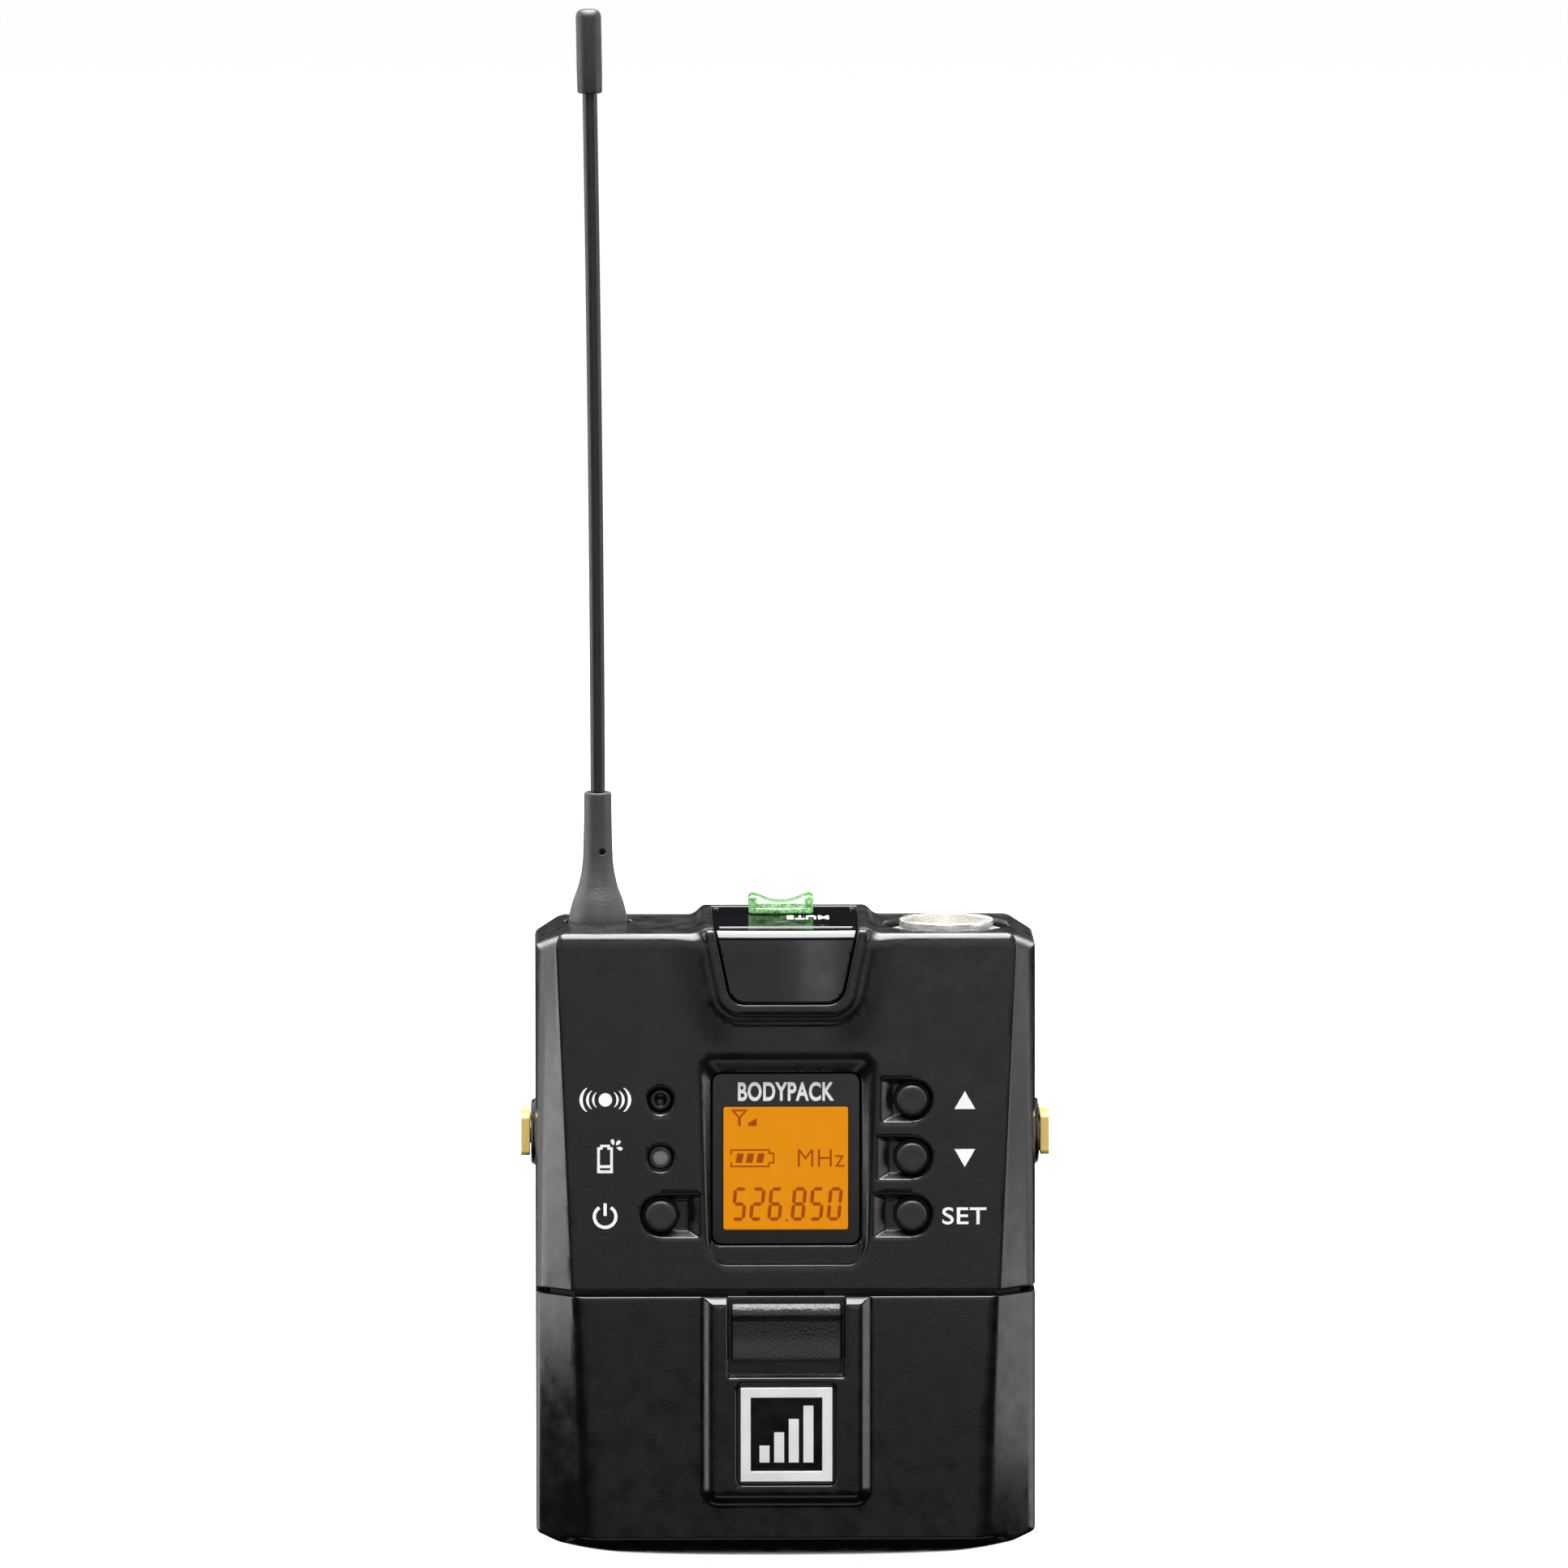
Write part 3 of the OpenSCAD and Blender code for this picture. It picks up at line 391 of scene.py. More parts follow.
def front_shell_form(s):
    form = outer_front(s)
    inner = both(case_outline(s, WALL), both(FRONT_Y + WALL - s.y, facet(s, WALL), 0.3), 0.5)
    form = without(form, inner, 0.15)
    form = both(form, SHELL_Z - s.z, 0.25)

    def add_seats(p, f):
        seat = rounded_box(p.x, p.z, (0, 0.8), (12.4, 14.75), 1.5)
        f = either(f, both(seat, slab(p.y, FRONT_Y + WALL / 2, LENS_HIGH[1] + 0.8)))
        backing = both(insert_prism(p, 1.0), p.z - TOP_Z + WALL / 2)
        return either(f, both(backing, slab(p.y, FRONT_Y + WALL / 2, FRONT_Y + 2.2)))
    edit(s, form, (-14, FRONT_Y - 2, -16), (14, FRONT_Y + 4, 40), add_seats)

    def seat_mic(p, f):
        around = np.hypot(p.x - MIC[0], p.y - MIC[1])
        f = either(f, both(around - SEAT_R, slab(p.z, MIC_SEAT, TOP_Z - WALL / 2)))
        f = without(f, both(around - RECESS_R, MIC_FLOOR - p.z), 0.12)
        return without(f, around - BARREL_R - 0.05)
    edit(s, form, (MIC[0] - 11, MIC[1] - 11, 20), (MIC[0] + 11, MIC[1] + 8.4, 40), seat_mic)

    def seat_antenna(p, f):
        around = np.hypot(p.x - ANTENNA[0], p.y - ANTENNA[1])
        f = either(f, both(around - 5, slab(p.z, BOOT_BASE - 3.5, BOOT_BASE)))
        f = without(f, both(around - 4.4, BOOT_BASE - p.z), 0.3)
        return without(f, around - 2.65)
    edit(s, form, (ANTENNA[0] - 7, ANTENNA[1] - 7, 20), (ANTENNA[0] + 7, ANTENNA[1] + 5, 40), seat_antenna)

    for side in (-1, 1):
        def add_boss(p, f):
            around = rod(p.y, p.z, PIVOT[1:], BOSS_R)
            f = either(f, both(around, slab(side * p.x, HALF_W - WALL, HALF_W + BOSS_OUT), 0.5), 0.15)
            return without(f, rod(p.y, p.z, PIVOT[1:], STUD_R + 0.06), 0.1)
        ends = sorted((side * (HALF_W - 3), side * (HALF_W + 3)))
        edit(s, form, (ends[0], PIVOT[1] - 6, PIVOT[2] - 6), (ends[1], PIVOT[1] + 6, PIVOT[2] + 6), add_boss)
    for x, z, r, hole, y0, y1 in (
        [(x, z, 2.0, 0.8, FRONT_Y + WALL / 2, BOARD_Y) for x, z in POSTS]
        + [(x, z, 2.3, 1.0, FRONT_Y + 7.4, COVER_Y) for x, z in SCREWS]
    ):
        def add_post(p, f):
            post = both(rod(p.x, p.z, (x, z), r), slab(p.y, y0, y1))
            bore = both(rod(p.x, p.z, (x, z), hole), FRONT_Y + WALL + 1 - p.y)
            return either(f, without(post, bore))
        edit(s, form, (x - 4, y0 - 2, z - 4), (x + 4, y1 + 2, z + 4), add_post)

    def fit_insert(p, f):
        room = insert_prism(p, 0.14, 1.8)
        front_room = both(room, p.y - FRONT_Y - 0.9)
        top_room = both(both(room, p.y - INSERT_HIGH[1] - 0.1), INSERT_EDGE - INSERT_T - 0.05 - p.z)
        f = without(f, either(front_room, top_room), 0.22)
        return without(f, both(slider_slot(p), TOP_Z - 3 - p.z))
    edit(s, form, (-13, FRONT_Y - 2, 19), (13, 0, 40), fit_insert)

    def fit_display(p, f):
        f = without(f, recess(p), 0.35)
        centre = (0, (LENS_LOW[2] + LENS_HIGH[2]) / 2)
        half = ((LENS_HIGH[0] - LENS_LOW[0]) / 2 + 0.16, (LENS_HIGH[2] - LENS_LOW[2]) / 2 + 0.16)
        f = without(f, both(rounded_box(p.x, p.z, centre, half, 1.3), p.y - LENS_HIGH[1] - 0.05), 0.12)
        return without(f, rounded_box(p.x, p.z, (0, -0.3), (8.6, 8.8), 0.3))
    edit(s, form, (-14, FRONT_Y - 2, -16), (14, FRONT_Y + 5, 17.5), fit_display)

    ends = {"power": -11.1, "up": 12.2, "down": 11.7, "set": 11.2}
    for name, centre in KEYS.items():
        def fit_key(p, f):
            f = without(f, key_well(p, centre, ends[name]), 0.12)
            return without(f, rod(p.x, p.z, (centre[0], centre[2]), 2.25))
        edit_front(s, form, centre, 7, 5, fit_key)
    for centre in LAMPS.values():
        def fit_lamp(p, f):
            deep = p.y - FRONT_Y
            around = np.hypot(p.x - centre[0], p.z - centre[2])
            radius = LAMP_WELL_R - (LAMP_WELL_R - LAMP_FLOOR_R) * np.clip(deep / LAMP_DEPTH, -0.3, 1)
            f = without(f, both(around - radius, deep - LAMP_DEPTH, 0.1), 0.12)
            return without(f, around - 1.38)
        edit_front(s, form, centre, 4, 4, fit_lamp)
    return form


def rear_cover_form(s):
    form = both(case_outline(s), s.y, 1.0)
    form = both(form, COVER_Y - s.y, 0.2)
    form = without(form, both(case_outline(s, 2.2), s.y + 1.5), 0.2)
    form = either(form, both(top_collar(s, COVER_Y, -0.8), COVER_Y - s.y), 1.7)
    for x, z in SCREWS:
        def add_boss(p, f):
            f = either(f, both(rod(p.x, p.z, (x, z), 3.0), slab(p.y, COVER_Y, -0.75)))
            f = without(f, rod(p.x, p.z, (x, z), 1.1))
            return without(f, both(rod(p.x, p.z, (x, z), 2.0), -1.3 - p.y), 0.15)
        edit(s, form, (x - 5, COVER_Y - 2, z - 5), (x + 5, 3, z + 5), add_boss)
    ribs = both(both(np.abs(np.abs(s.x) - 10.6) - 0.6, slab(s.y, -3.4, -1.0)), slab(s.z, -44, -18))
    form = either(form, ribs, 0.2)
    form = both(form, HINGE[2] + 0.5 - s.z, 0.3)
    return without(form, rod(s.y, s.z, HINGE[1:], CURL_R + 0.3), 0.15)


# Battery door
HINGE = joint_at("door_hinge")
CURL_R = HINGE[2] - BOTTOM_Z
SWEEP_R = 8.0
DOOR_WALL = 1.4
DOOR_BACK = COVER_Y - 0.3
COLUMN_Y = DOOR_LOW[1]
COLUMN_PROUD = 1.1
DOOR_Y = COLUMN_Y + COLUMN_PROUD
COLUMN_HALF, COLUMN_LOW, COLUMN_FLANK = 11.3, -44.4, 1.9
LATCH_LOW, LATCH_HIGH = mm_box("door_latch")
LATCH_FLOOR = COLUMN_Y + 1.45
LATCH_TAB_HALF = LATCH_HIGH[0]
POCKET_HALF, POCKET_LOW = 7.65, -27.2
BADGE_LOW, BADGE_HIGH = mm_box("badge_frame")
KNUCKLES, EARS = (16.5, 21.7), (22.0, 27.0)


def door_front(s):
    """The door's front face, whose middle stands proud on soft flanks."""
    middle = (DOOR_Z + 20 + COLUMN_LOW) / 2
    tall = (DOOR_Z + 20 - COLUMN_LOW) / 2
    column = -rounded_box(s.x, s.z, (0, middle), (COLUMN_HALF, tall), 2.6)
    proud = COLUMN_PROUD * ease(column / COLUMN_FLANK)
    bevel = np.clip(DOOR_Z - s.z + 0.15, 0, COLUMN_PROUD)
    return (DOOR_Y - np.minimum(proud, bevel) - s.y) / 1.05


def door_side_view(s, front, inset=0.0):
    """The door from the side: its face, the sweep under it and the curl round its hinge."""
    swept = both(both(front + inset, BOTTOM_Z - s.z + inset, SWEEP_R - inset), s.y - HINGE[1])
    upright = both(both(front + inset, s.y - DOOR_BACK), HINGE[2] - s.z)
    curl = rod(s.y, s.z, HINGE[1:], CURL_R - inset)
    return np.minimum(np.minimum(swept, upright), curl)


def door_form(s):
    block = both(case_outline(s), facet(s), 0.5)
    form = both(block, door_side_view(s, door_front(s)), 0.55)
    hollow = both(case_outline(s, DOOR_WALL), facet(s, DOOR_WALL))
    hollow = both(hollow, door_side_view(s, DOOR_Y - s.y, DOOR_WALL), 0.5)
    room = without(form, hollow, 0.15)
    ears = both(rod(s.y, s.z, HINGE[1:], 2.25), slab(np.abs(s.x), *EARS))
    form = either(room, both(ears, form))
    form = both(form, s.z - DOOR_Z, 0.3)
    above = both(HINGE[1] - 2.4 - s.y, slab(s.z, HINGE[2] + 1.6, HINGE[2] + 4.2))
    form = without(form, above, 0.12)
    notch = both(slab(np.abs(s.x), KNUCKLES[0] - 0.3, KNUCKLES[1] + 0.3), HINGE[1] - 1.9 - s.y)
    form = without(form, both(notch, s.z - HINGE[2] - 3), 0.12)
    form = without(form, both(rod(s.y, s.z, HINGE[1:], 0.85), slab(np.abs(s.x), 21, 28)))

    def fit_latch(p, f):
        pocket = rounded_box(p.x, p.z, (0, POCKET_LOW + 20), (POCKET_HALF, 20), 0.4)
        pocket = both(pocket, p.y - LATCH_FLOOR, 0.1)
        slot = rounded_box(p.x, p.z, (0, -20.15), (3.25, 2.15), 0.2)
        slot = either(slot, rounded_box(p.x, p.z, (0, -23.0), (0.7, 0.7), 0.1))
        return without(without(f, pocket, 0.18), slot)
    edit(s, form, (-10, COLUMN_Y - 2, -30), (10, COLUMN_Y + 4, DOOR_Z + 1), fit_latch)

    def fit_badge(p, f):
        centre = (0, (BADGE_LOW[2] + BADGE_HIGH[2]) / 2)
        half = (BADGE_HIGH[0] + 0.55, (BADGE_HIGH[2] - BADGE_LOW[2]) / 2 + 0.55)
        well = both(rounded_box(p.x, p.z, centre, half, 1.0), p.y - BADGE_HIGH[1])
        return without(f, well, 0.12)
    edit(s, form, (-9, COLUMN_Y - 2, -45), (9, COLUMN_Y + 4, -25), fit_badge)
    return form


LATCH_STEM_Z = (-20.6, -18.3)


def latch_form(s):
    """The latch's tab with its thumb ridge, and the stem and plate that hold it in the door."""
    front = LATCH_LOW[1]
    below = LATCH_HIGH[2] - s.z
    hollow = 0.28 * ease((below - 1.3) / 1.2) * ease((LATCH_HIGH[2] - LATCH_LOW[2] - below) / 3.5)
    tab = rounded_box(s.x, s.z, (0, (LATCH_LOW[2] + LATCH_HIGH[2]) / 2),
                      (LATCH_TAB_HALF, (LATCH_HIGH[2] - LATCH_LOW[2]) / 2), 0.5)
    ridge = (s.z - LATCH_HIGH[2] + 1.35) * math.cos(0.9) - (s.y - front) * math.sin(0.9)
    face = both(front + hollow - s.y, ridge, 0.5)
    form = both(both(tab, face, 0.35), s.y - LATCH_FLOOR + 0.2, 0.1)
    level = slab(s.z, *LATCH_STEM_Z)
    stem = both(both(np.abs(s.x) - 3, level), slab(s.y, LATCH_FLOOR - 0.3, LATCH_FLOOR + 1.6))
    plate = both(both(np.abs(s.x) - 4, level), slab(s.y, LATCH_FLOOR + 1.3, LATCH_HIGH[1]))
    return either(form, either(stem, plate))


def insert_form(s):
    """The gloss mute insert: a front apron and a domed top with a raised pad under the slider."""
    pad = both(under_dome(s, 0.12), np.abs(s.x) - 8.7, 0.15)
    pad = both(pad, DOME_Y - DOME_RUN - 2.1 - s.y, 0.12)
    top = either(under_dome(s), pad)
    face = both(INSERT_LOW[1] + s.x ** 2 / (2 * INSERT_CROWN) - s.y, top, 1.9)
    form = both(insert_prism(s, 0.0, 1.8), face, 0.25)
    form = both(form, s.y - INSERT_HIGH[1], 0.2)
    hollow = both(INSERT_LOW[1] + INSERT_T - s.y, s.z - INSERT_EDGE + INSERT_T)
    form = without(form, hollow, 0.1)
    return without(form, slider_slot(s), 0.1)


def slider_form(s):
    """The see-through slider: a saddle for a fingertip, on a stem."""
    centre = (SLIDER_LOW + SLIDER_HIGH) / 2
    half = (SLIDER_HIGH - SLIDER_LOW) / 2
    knob = rounded_box(s.x, s.y, centre[:2], half[:2], 0.7)
    knob = both(knob, s.z - SLIDER_HIGH[2], 0.45)
    knob = without(knob, rod(s.x, s.z, (centre[0], SLIDER_HIGH[2] + 4.9), 5.85), 0.3)
    knob = without(knob, under_dome(s, 0.22), 0.15)
    stem = rounded_box(s.x, s.y, centre[:2], (1.5, 1.0), 0.1)
    return either(knob, both(stem, slab(s.z, SLIDER_LOW[2], INSERT_HIGH[2] + 0.4)))


def lathe(name, centre, profile, axis="z", steps=96):
    """A turned piece from (radius, height) pairs, in millimetres, along Z or from the front to the back."""
    angles = np.linspace(0, 2 * math.pi, steps, endpoint=False)
    radii, heights = np.array(profile, float).T
    ring = np.stack([np.outer(radii, np.cos(angles)), np.outer(radii, np.sin(angles)),
                     np.repeat(heights[:, None], steps, 1)], -1)
    if axis == "y":
        ring = np.stack([ring[..., 0], ring[..., 2], -ring[..., 1]], -1)
    points = ring.reshape(-1, 3) + np.array(centre)
    i, j = np.meshgrid(np.arange(len(profile) - 1), np.arange(steps), indexing="ij")
    k = (j + 1) % steps
    near, far = i * steps, (i + 1) * steps
    quads = np.stack([near + j, near + k, far + k, far + j], -1).reshape(-1, 4)
    piece = mesh_object(name, points, [quads])
    work = bmesh.new()
    work.from_mesh(piece.data)
    bmesh.ops.remove_doubles(work, verts=work.verts, dist=1e-7)
    bmesh.ops.recalc_face_normals(work, faces=work.faces)
    work.to_mesh(piece.data)
    work.free()
    piece.data.set_sharp_from_angle(angle=math.radians(32))
    return piece


def coil(name, node, turns, wire):
    """A coil spring along Z, as long and as wide as its CAD node."""
    low, high = mm_box(node)
    centre, r = (low + high) / 2, (high[0] - low[0] - wire) / 2
    steps, sides = 20 * turns + 1, 8
    angles = np.linspace(0, 2 * math.pi, sides, endpoint=False)
    along, around = np.meshgrid(np.linspace(0, 1, steps), angles, indexing="ij")
    turn = 2 * math.pi * turns * along
    reach = r + wire / 2 * np.cos(around)
    height = low[2] + wire / 2 + (high[2] - low[2] - wire) * along + wire / 2 * np.sin(around)
    x, y = centre[0] + reach * np.cos(turn), centre[1] + reach * np.sin(turn)
    points = np.stack([x, y, height], -1).reshape(-1, 3)
    i, j = np.meshgrid(np.arange(steps - 1), np.arange(sides), indexing="ij")
    k = (j + 1) % sides
    near, far = i * sides, (i + 1) * sides
    quads = np.stack([near + j, far + j, far + k, near + k], -1).reshape(-1, 4)
    last = (steps - 1) * sides
    caps = np.array([[*range(sides)], [*range(last + sides - 1, last - 1, -1)]])
    return mesh_object(name, points, [quads, caps])


def arc(centre, r, a0, a1, steps=6):
    """Points along an arc, from angle a0 to a1 in degrees."""
    return [(centre[0] + r * math.cos(math.radians(a)), centre[1] + r * math.sin(math.radians(a)))
            for a in np.linspace(a0, a1, steps)]

# Turned and drawn pieces
def turned_key(name):
    """A push button: its cap, retaining flange and plunger."""
    low, high = mm_box(name + "_button")
    flange = high[0] - (low[0] + high[0]) / 2
    length, back = high[1] - low[1], FRONT_Y + WALL + 0.15 - low[1]
    profile = [(0, 0.05), (0.9, 0.02)] + arc((1.58, 0.36), 0.36, -90, -10)
    profile += [(2.08, 1.0), (2.1, back), (flange - 0.1, back), (flange, back + 0.1), (flange, back + 0.5)]
    profile += [(flange - 0.1, back + 0.6), (1.15, back + 0.6), (1.0, back + 0.8)]
    profile += [(1.0, length), (0, length)]
    centre = KEYS[name]
    return lathe(name + "_key", (centre[0], low[1], centre[2]), profile, "y")


def turned_lamp(name, radius, flange, crown):
    """A light guide behind its hole, with a domed or dished end."""
    low, high = mm_box(name)
    back, length = FRONT_Y + WALL + 0.05 - low[1], high[1] - low[1]
    profile = [(0, -crown), (radius * 0.3, -crown * 0.9), (radius * 0.6, -crown * 0.6)]
    profile += [(radius - 0.12, 0.04), (radius, 0.16), (radius, back), (flange, back), (flange, back + 0.75)]
    profile += [(radius, back + 0.75), (radius, max(length, back + 0.8)), (0, max(length, back + 0.8))]
    centre = LAMPS[name]
    return lathe(name + "_lens", (centre[0], low[1], centre[2]), profile, "y")


def turned_window():
    """The infrared window: a dark ring round a dished centre."""
    low, high = mm_box("ir_window")
    back = FRONT_Y + WALL + 0.05 - low[1]
    profile = [(0, 0.62), (0.4, 0.58), (0.66, 0.42), (0.76, 0.12)] + arc((0.9, 0.12), 0.12, 180, 270, 4)
    profile += arc((1.22, 0.13), 0.13, -90, 0, 4)
    profile += [(1.35, back), (1.9, back), (1.9, back + 0.75), (0, back + 0.75)]
    centre = LAMPS["ir_window"]
    return lathe("ir_port", (centre[0], low[1], centre[2]), profile, "y")


CAP_LOW, CAP_HIGH = mm_box("antenna_cap")
BOOT_TOP = mm_box("antenna_boot")[1][2]
FLEX_Z = joint_at("antenna_flex")[2]
WHIP_R = 0.95
FLEX_RUN = 5.0
BOOT_R = 1.76
LEAN = 0.9


def boot_form(s):
    """The antenna's rubber boot, which flares into its seat, with a small hole in its front."""
    above = [0.0, 0.3, 1.0, 2.7, 4.4, 6.2, 7.9, 11.0, 14.0, 20.0]
    radius = [3.85, 3.84, 3.72, 3.28, 2.62, 2.18, 1.96, 1.85, 1.8, BOOT_R]
    outline = np.interp(s.z - TOP_Z, above, radius)
    for _ in range(int(3 / s.step)):
        outline[..., 1:-1] = (outline[..., :-2] + 2 * outline[..., 1:-1] + outline[..., 2:]) / 4
    around = np.hypot(s.x - ANTENNA[0], s.y - ANTENNA[1])
    form = both(around - outline, BOOT_BASE - s.z, 0.1)
    form = both(form, s.z - BOOT_TOP, 0.3)
    hole = both(rod(s.x, s.z, (ANTENNA[0] + 0.55, TOP_Z + 9.2), 0.4), s.y - ANTENNA[1])
    form = without(form, hole, 0.08)
    socket = both(around - 1.06 - 0.5 * np.clip(s.z - FLEX_Z, 0, 1.1), FLEX_Z - s.z)
    return without(form, either(socket, np.hypot(around, s.z - FLEX_Z) - 1.15))


def lean(piece):
    """Gives the antenna the slight bow it has in the photo."""
    for vertex in piece.data.vertices:
        rise = max(vertex.co.z / MM - FLEX_Z, 0) / (CAP_LOW[2] - FLEX_Z)
        vertex.co.x -= LEAN * MM * rise ** 1.6
    return piece


def whip():
    """The antenna's jacketed wire, from its ball in the boot to its cap."""
    heights = np.linspace(0.95, CAP_LOW[2] + 1 - FLEX_Z, 60)
    profile = [(0, -1.02)] + arc((0, 0), 1.02, -80, 50, 12)
    profile += [(WHIP_R, z) for z in heights] + [(0, heights[-1])]
    piece = lean(lathe("whip", (ANTENNA[0], ANTENNA[1], FLEX_Z), profile, steps=48))
    end = Vector((ANTENNA[0], ANTENNA[1], FLEX_Z + FLEX_RUN)) * MM
    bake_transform(piece, "case", "antenna", Vector((ANTENNA[0], ANTENNA[1], FLEX_Z)) * MM, end)
    return piece


def whip_cap():
    """The moulded tip of the antenna, with a witness line round it."""
    r, tall = (CAP_HIGH[0] - CAP_LOW[0]) / 2, CAP_HIGH[2] - CAP_LOW[2]
    profile = [(0, 0), (r - 0.25, 0)] + arc((r - 0.2, 0.2), 0.15, -90, 0, 4)
    profile += [(r, tall * 0.3), (r, tall * 0.55)] + arc((r - 1.0, tall - 1.1), 1.0, 0, 80, 10)
    profile += [(0, tall - 0.1)]
    return lean(lathe("whip_tip", (ANTENNA[0], ANTENNA[1], CAP_LOW[2]), profile, steps=64))


def cell(name, node):
    """An AA cell: a jacketed can, crimped at its ends, with its positive button."""
    low, high = mm_box(node)
    centre, length, r = (low + high) / 2, high[0] - low[0], (high[1] - low[1]) / 2
    button = 2.75
    can = length - 1.2
    profile = [(0, 0), (4.6, 0.02), (4.9, 0.16), (5.6, 0.18), (5.9, 0.02)] + arc((r - 0.5, 0.5), 0.5, -90, 0)
    profile += arc((r - 0.7, can - 0.7), 0.7, 0, 90) + [(5.4, can), (5.1, can - 0.35), (3.4, can - 0.35)]
    profile += [(button, can - 0.1)] + arc((button - 0.35, length - 0.35), 0.35, 0, 90, 4) + [(0, length)]
    piece = lathe(name, (0, 0, 0), profile, steps=96)
    toward = 1 if node == UPPER_POSITIVE_RIGHT else -1
    laid = Matrix.Rotation(toward * math.pi / 2, 4, "Y") @ Matrix.Translation((0, 0, -length / 2 * MM))
    piece.data.transform(Matrix.Translation(Vector(centre) * MM) @ laid)
    return piece


UPPER_POSITIVE_RIGHT = "lower_cell"


# Flat outlines: prints, segments and panes
def circle(centre, r, steps=48, a0=0.0, a1=360.0):
    points = arc(centre, r, a0, a1, steps + 1)
    return points[:-1] if a1 - a0 == 360.0 else points


def stroke(points, width):
    """The outline of a line of even width through points."""
    line = np.array(points, float)
    run = np.gradient(line, axis=0)
    run /= np.linalg.norm(run, axis=1, keepdims=True)
    off = np.stack([-run[:, 1], run[:, 0]], 1) * width / 2
    return [tuple(p) for p in np.concatenate([line + off, (line - off)[::-1]])]


def moved(loops, dx, dz):
    return [[(x + dx, z + dz) for x, z in loop] for loop in loops]


def outline_mesh(name, loops, thick, text=None, bold=0.0, width=None, height=None):
    """A flat piece with the given outlines, or with a word, lying in the XY plane, in millimetres."""
    if text:
        curve = bpy.data.curves.new(name, "FONT")
        curve.body, curve.size, curve.offset = text, 3 * MM, bold * MM
        curve.align_x = curve.align_y = "CENTER"
        curve.space_character = 1.05
    else:
        curve = bpy.data.curves.new(name, "CURVE")
        for loop in loops:
            spline = curve.splines.new("POLY")
            spline.points.add(len(loop) - 1)
            spline.points.foreach_set("co", [c for x, z in loop for c in (x * MM, z * MM, 0, 1)])
            spline.use_cyclic_u = True
    curve.dimensions, curve.fill_mode = "2D", "BOTH"
    curve.extrude = thick * MM / 2
    shape = bpy.data.objects.new(name, curve)
    bpy.context.scene.collection.objects.link(shape)
    bpy.context.view_layer.update()
    mesh = bpy.data.meshes.new_from_object(shape.evaluated_get(bpy.context.evaluated_depsgraph_get()))
    bpy.data.objects.remove(shape)
    bpy.data.curves.remove(curve)
    work = bmesh.new()
    work.from_mesh(mesh)
    bmesh.ops.remove_doubles(work, verts=work.verts, dist=1e-7)
    work.to_mesh(mesh)
    work.free()
    piece = bpy.data.objects.new(name, mesh)
    bpy.context.scene.collection.objects.link(piece)
    if width:
        low, high = (Vector([pick(v.co[i] for v in mesh.vertices) for i in range(3)]) for pick in (min, max))
        grow = Matrix.Diagonal((width * MM / (high.x - low.x), height * MM / (high.y - low.y), 1, 1))
        mesh.transform(grow @ Matrix.Translation(Vector((-(low.x + high.x) / 2, -(low.y + high.y) / 2, 0))))
    return piece


def on_front(piece, x, z, y):
    """Stands a flat piece upright, its middle at depth y."""
    turn = Matrix.Rotation(math.pi / 2, 4, "X")
    piece.data.transform(Matrix.Translation(Vector((x, y, z)) * MM) @ turn)
    return piece


PRINT_T = 0.1
PRINT_Y = FRONT_Y + PRINT_T / 2 - 0.03
ICON_X = 23.45


def print_piece(name, loops, x, z, **words):
    return on_front(outline_mesh(name, loops, PRINT_T, **words), x, z, PRINT_Y)


def crescent(reach, r, half_angle, thick):
    """An arc whose middle lies reach from the centre and whose ends taper."""
    angles = np.radians(np.linspace(-half_angle, half_angle, 20))
    taper = thick * (0.25 + 0.75 * np.cos(angles / math.radians(half_angle) * math.pi / 2))
    outer = [(reach - r + r * math.cos(a), r * math.sin(a)) for a in angles]
    inner = [(reach - r + (r - t) * math.cos(a), (r - t) * math.sin(a)) for a, t in zip(angles, taper)]
    return outer + inner[::-1]


def infrared_icon():
    """A dot with three waves to each side."""
    waves = [crescent(1.73, 1.15, 60, 0.3), crescent(2.5, 1.4, 61, 0.36), crescent(3.36, 1.8, 62, 0.44)]
    return [circle((0, 0), 0.88)] + waves + [[(-x, z) for x, z in wave] for wave in waves]


def bottle(half, low, shoulder, neck, high):
    """An upright outline with a narrower top, as a battery has."""
    right = [(half, low), (half, shoulder), (neck, shoulder), (neck, high)]
    return [(-half, low)] + right + [(-x, z) for x, z in right[:0:-1]]


def battery_icon():
    """A battery nearly empty, with a flashing mark at its corner."""
    outer, room = bottle(1.02, -1.9, 1.5, 0.65, 1.82), bottle(0.66, -0.85, 1.18, 0.3, 1.5)
    slot = [(-0.66, -1.52), (0.66, -1.52), (0.66, -1.22), (-0.66, -1.22)]
    spark = [(0, 0.0), (0.24, 0.4), (0.19, 0.8), (-0.19, 0.8), (-0.24, 0.4)]
    rays = []
    for turn, x, z in ((16, 1.12, 1.74), (-42, 1.4, 1.74), (-106, 1.46, 1.46)):
        c, w = math.cos(math.radians(turn)), math.sin(math.radians(turn))
        rays.append([(x + px * c - pz * w, z + px * w + pz * c) for px, pz in spark])
    return [outer, room, slot] + rays


TITLE_Z = 9.85


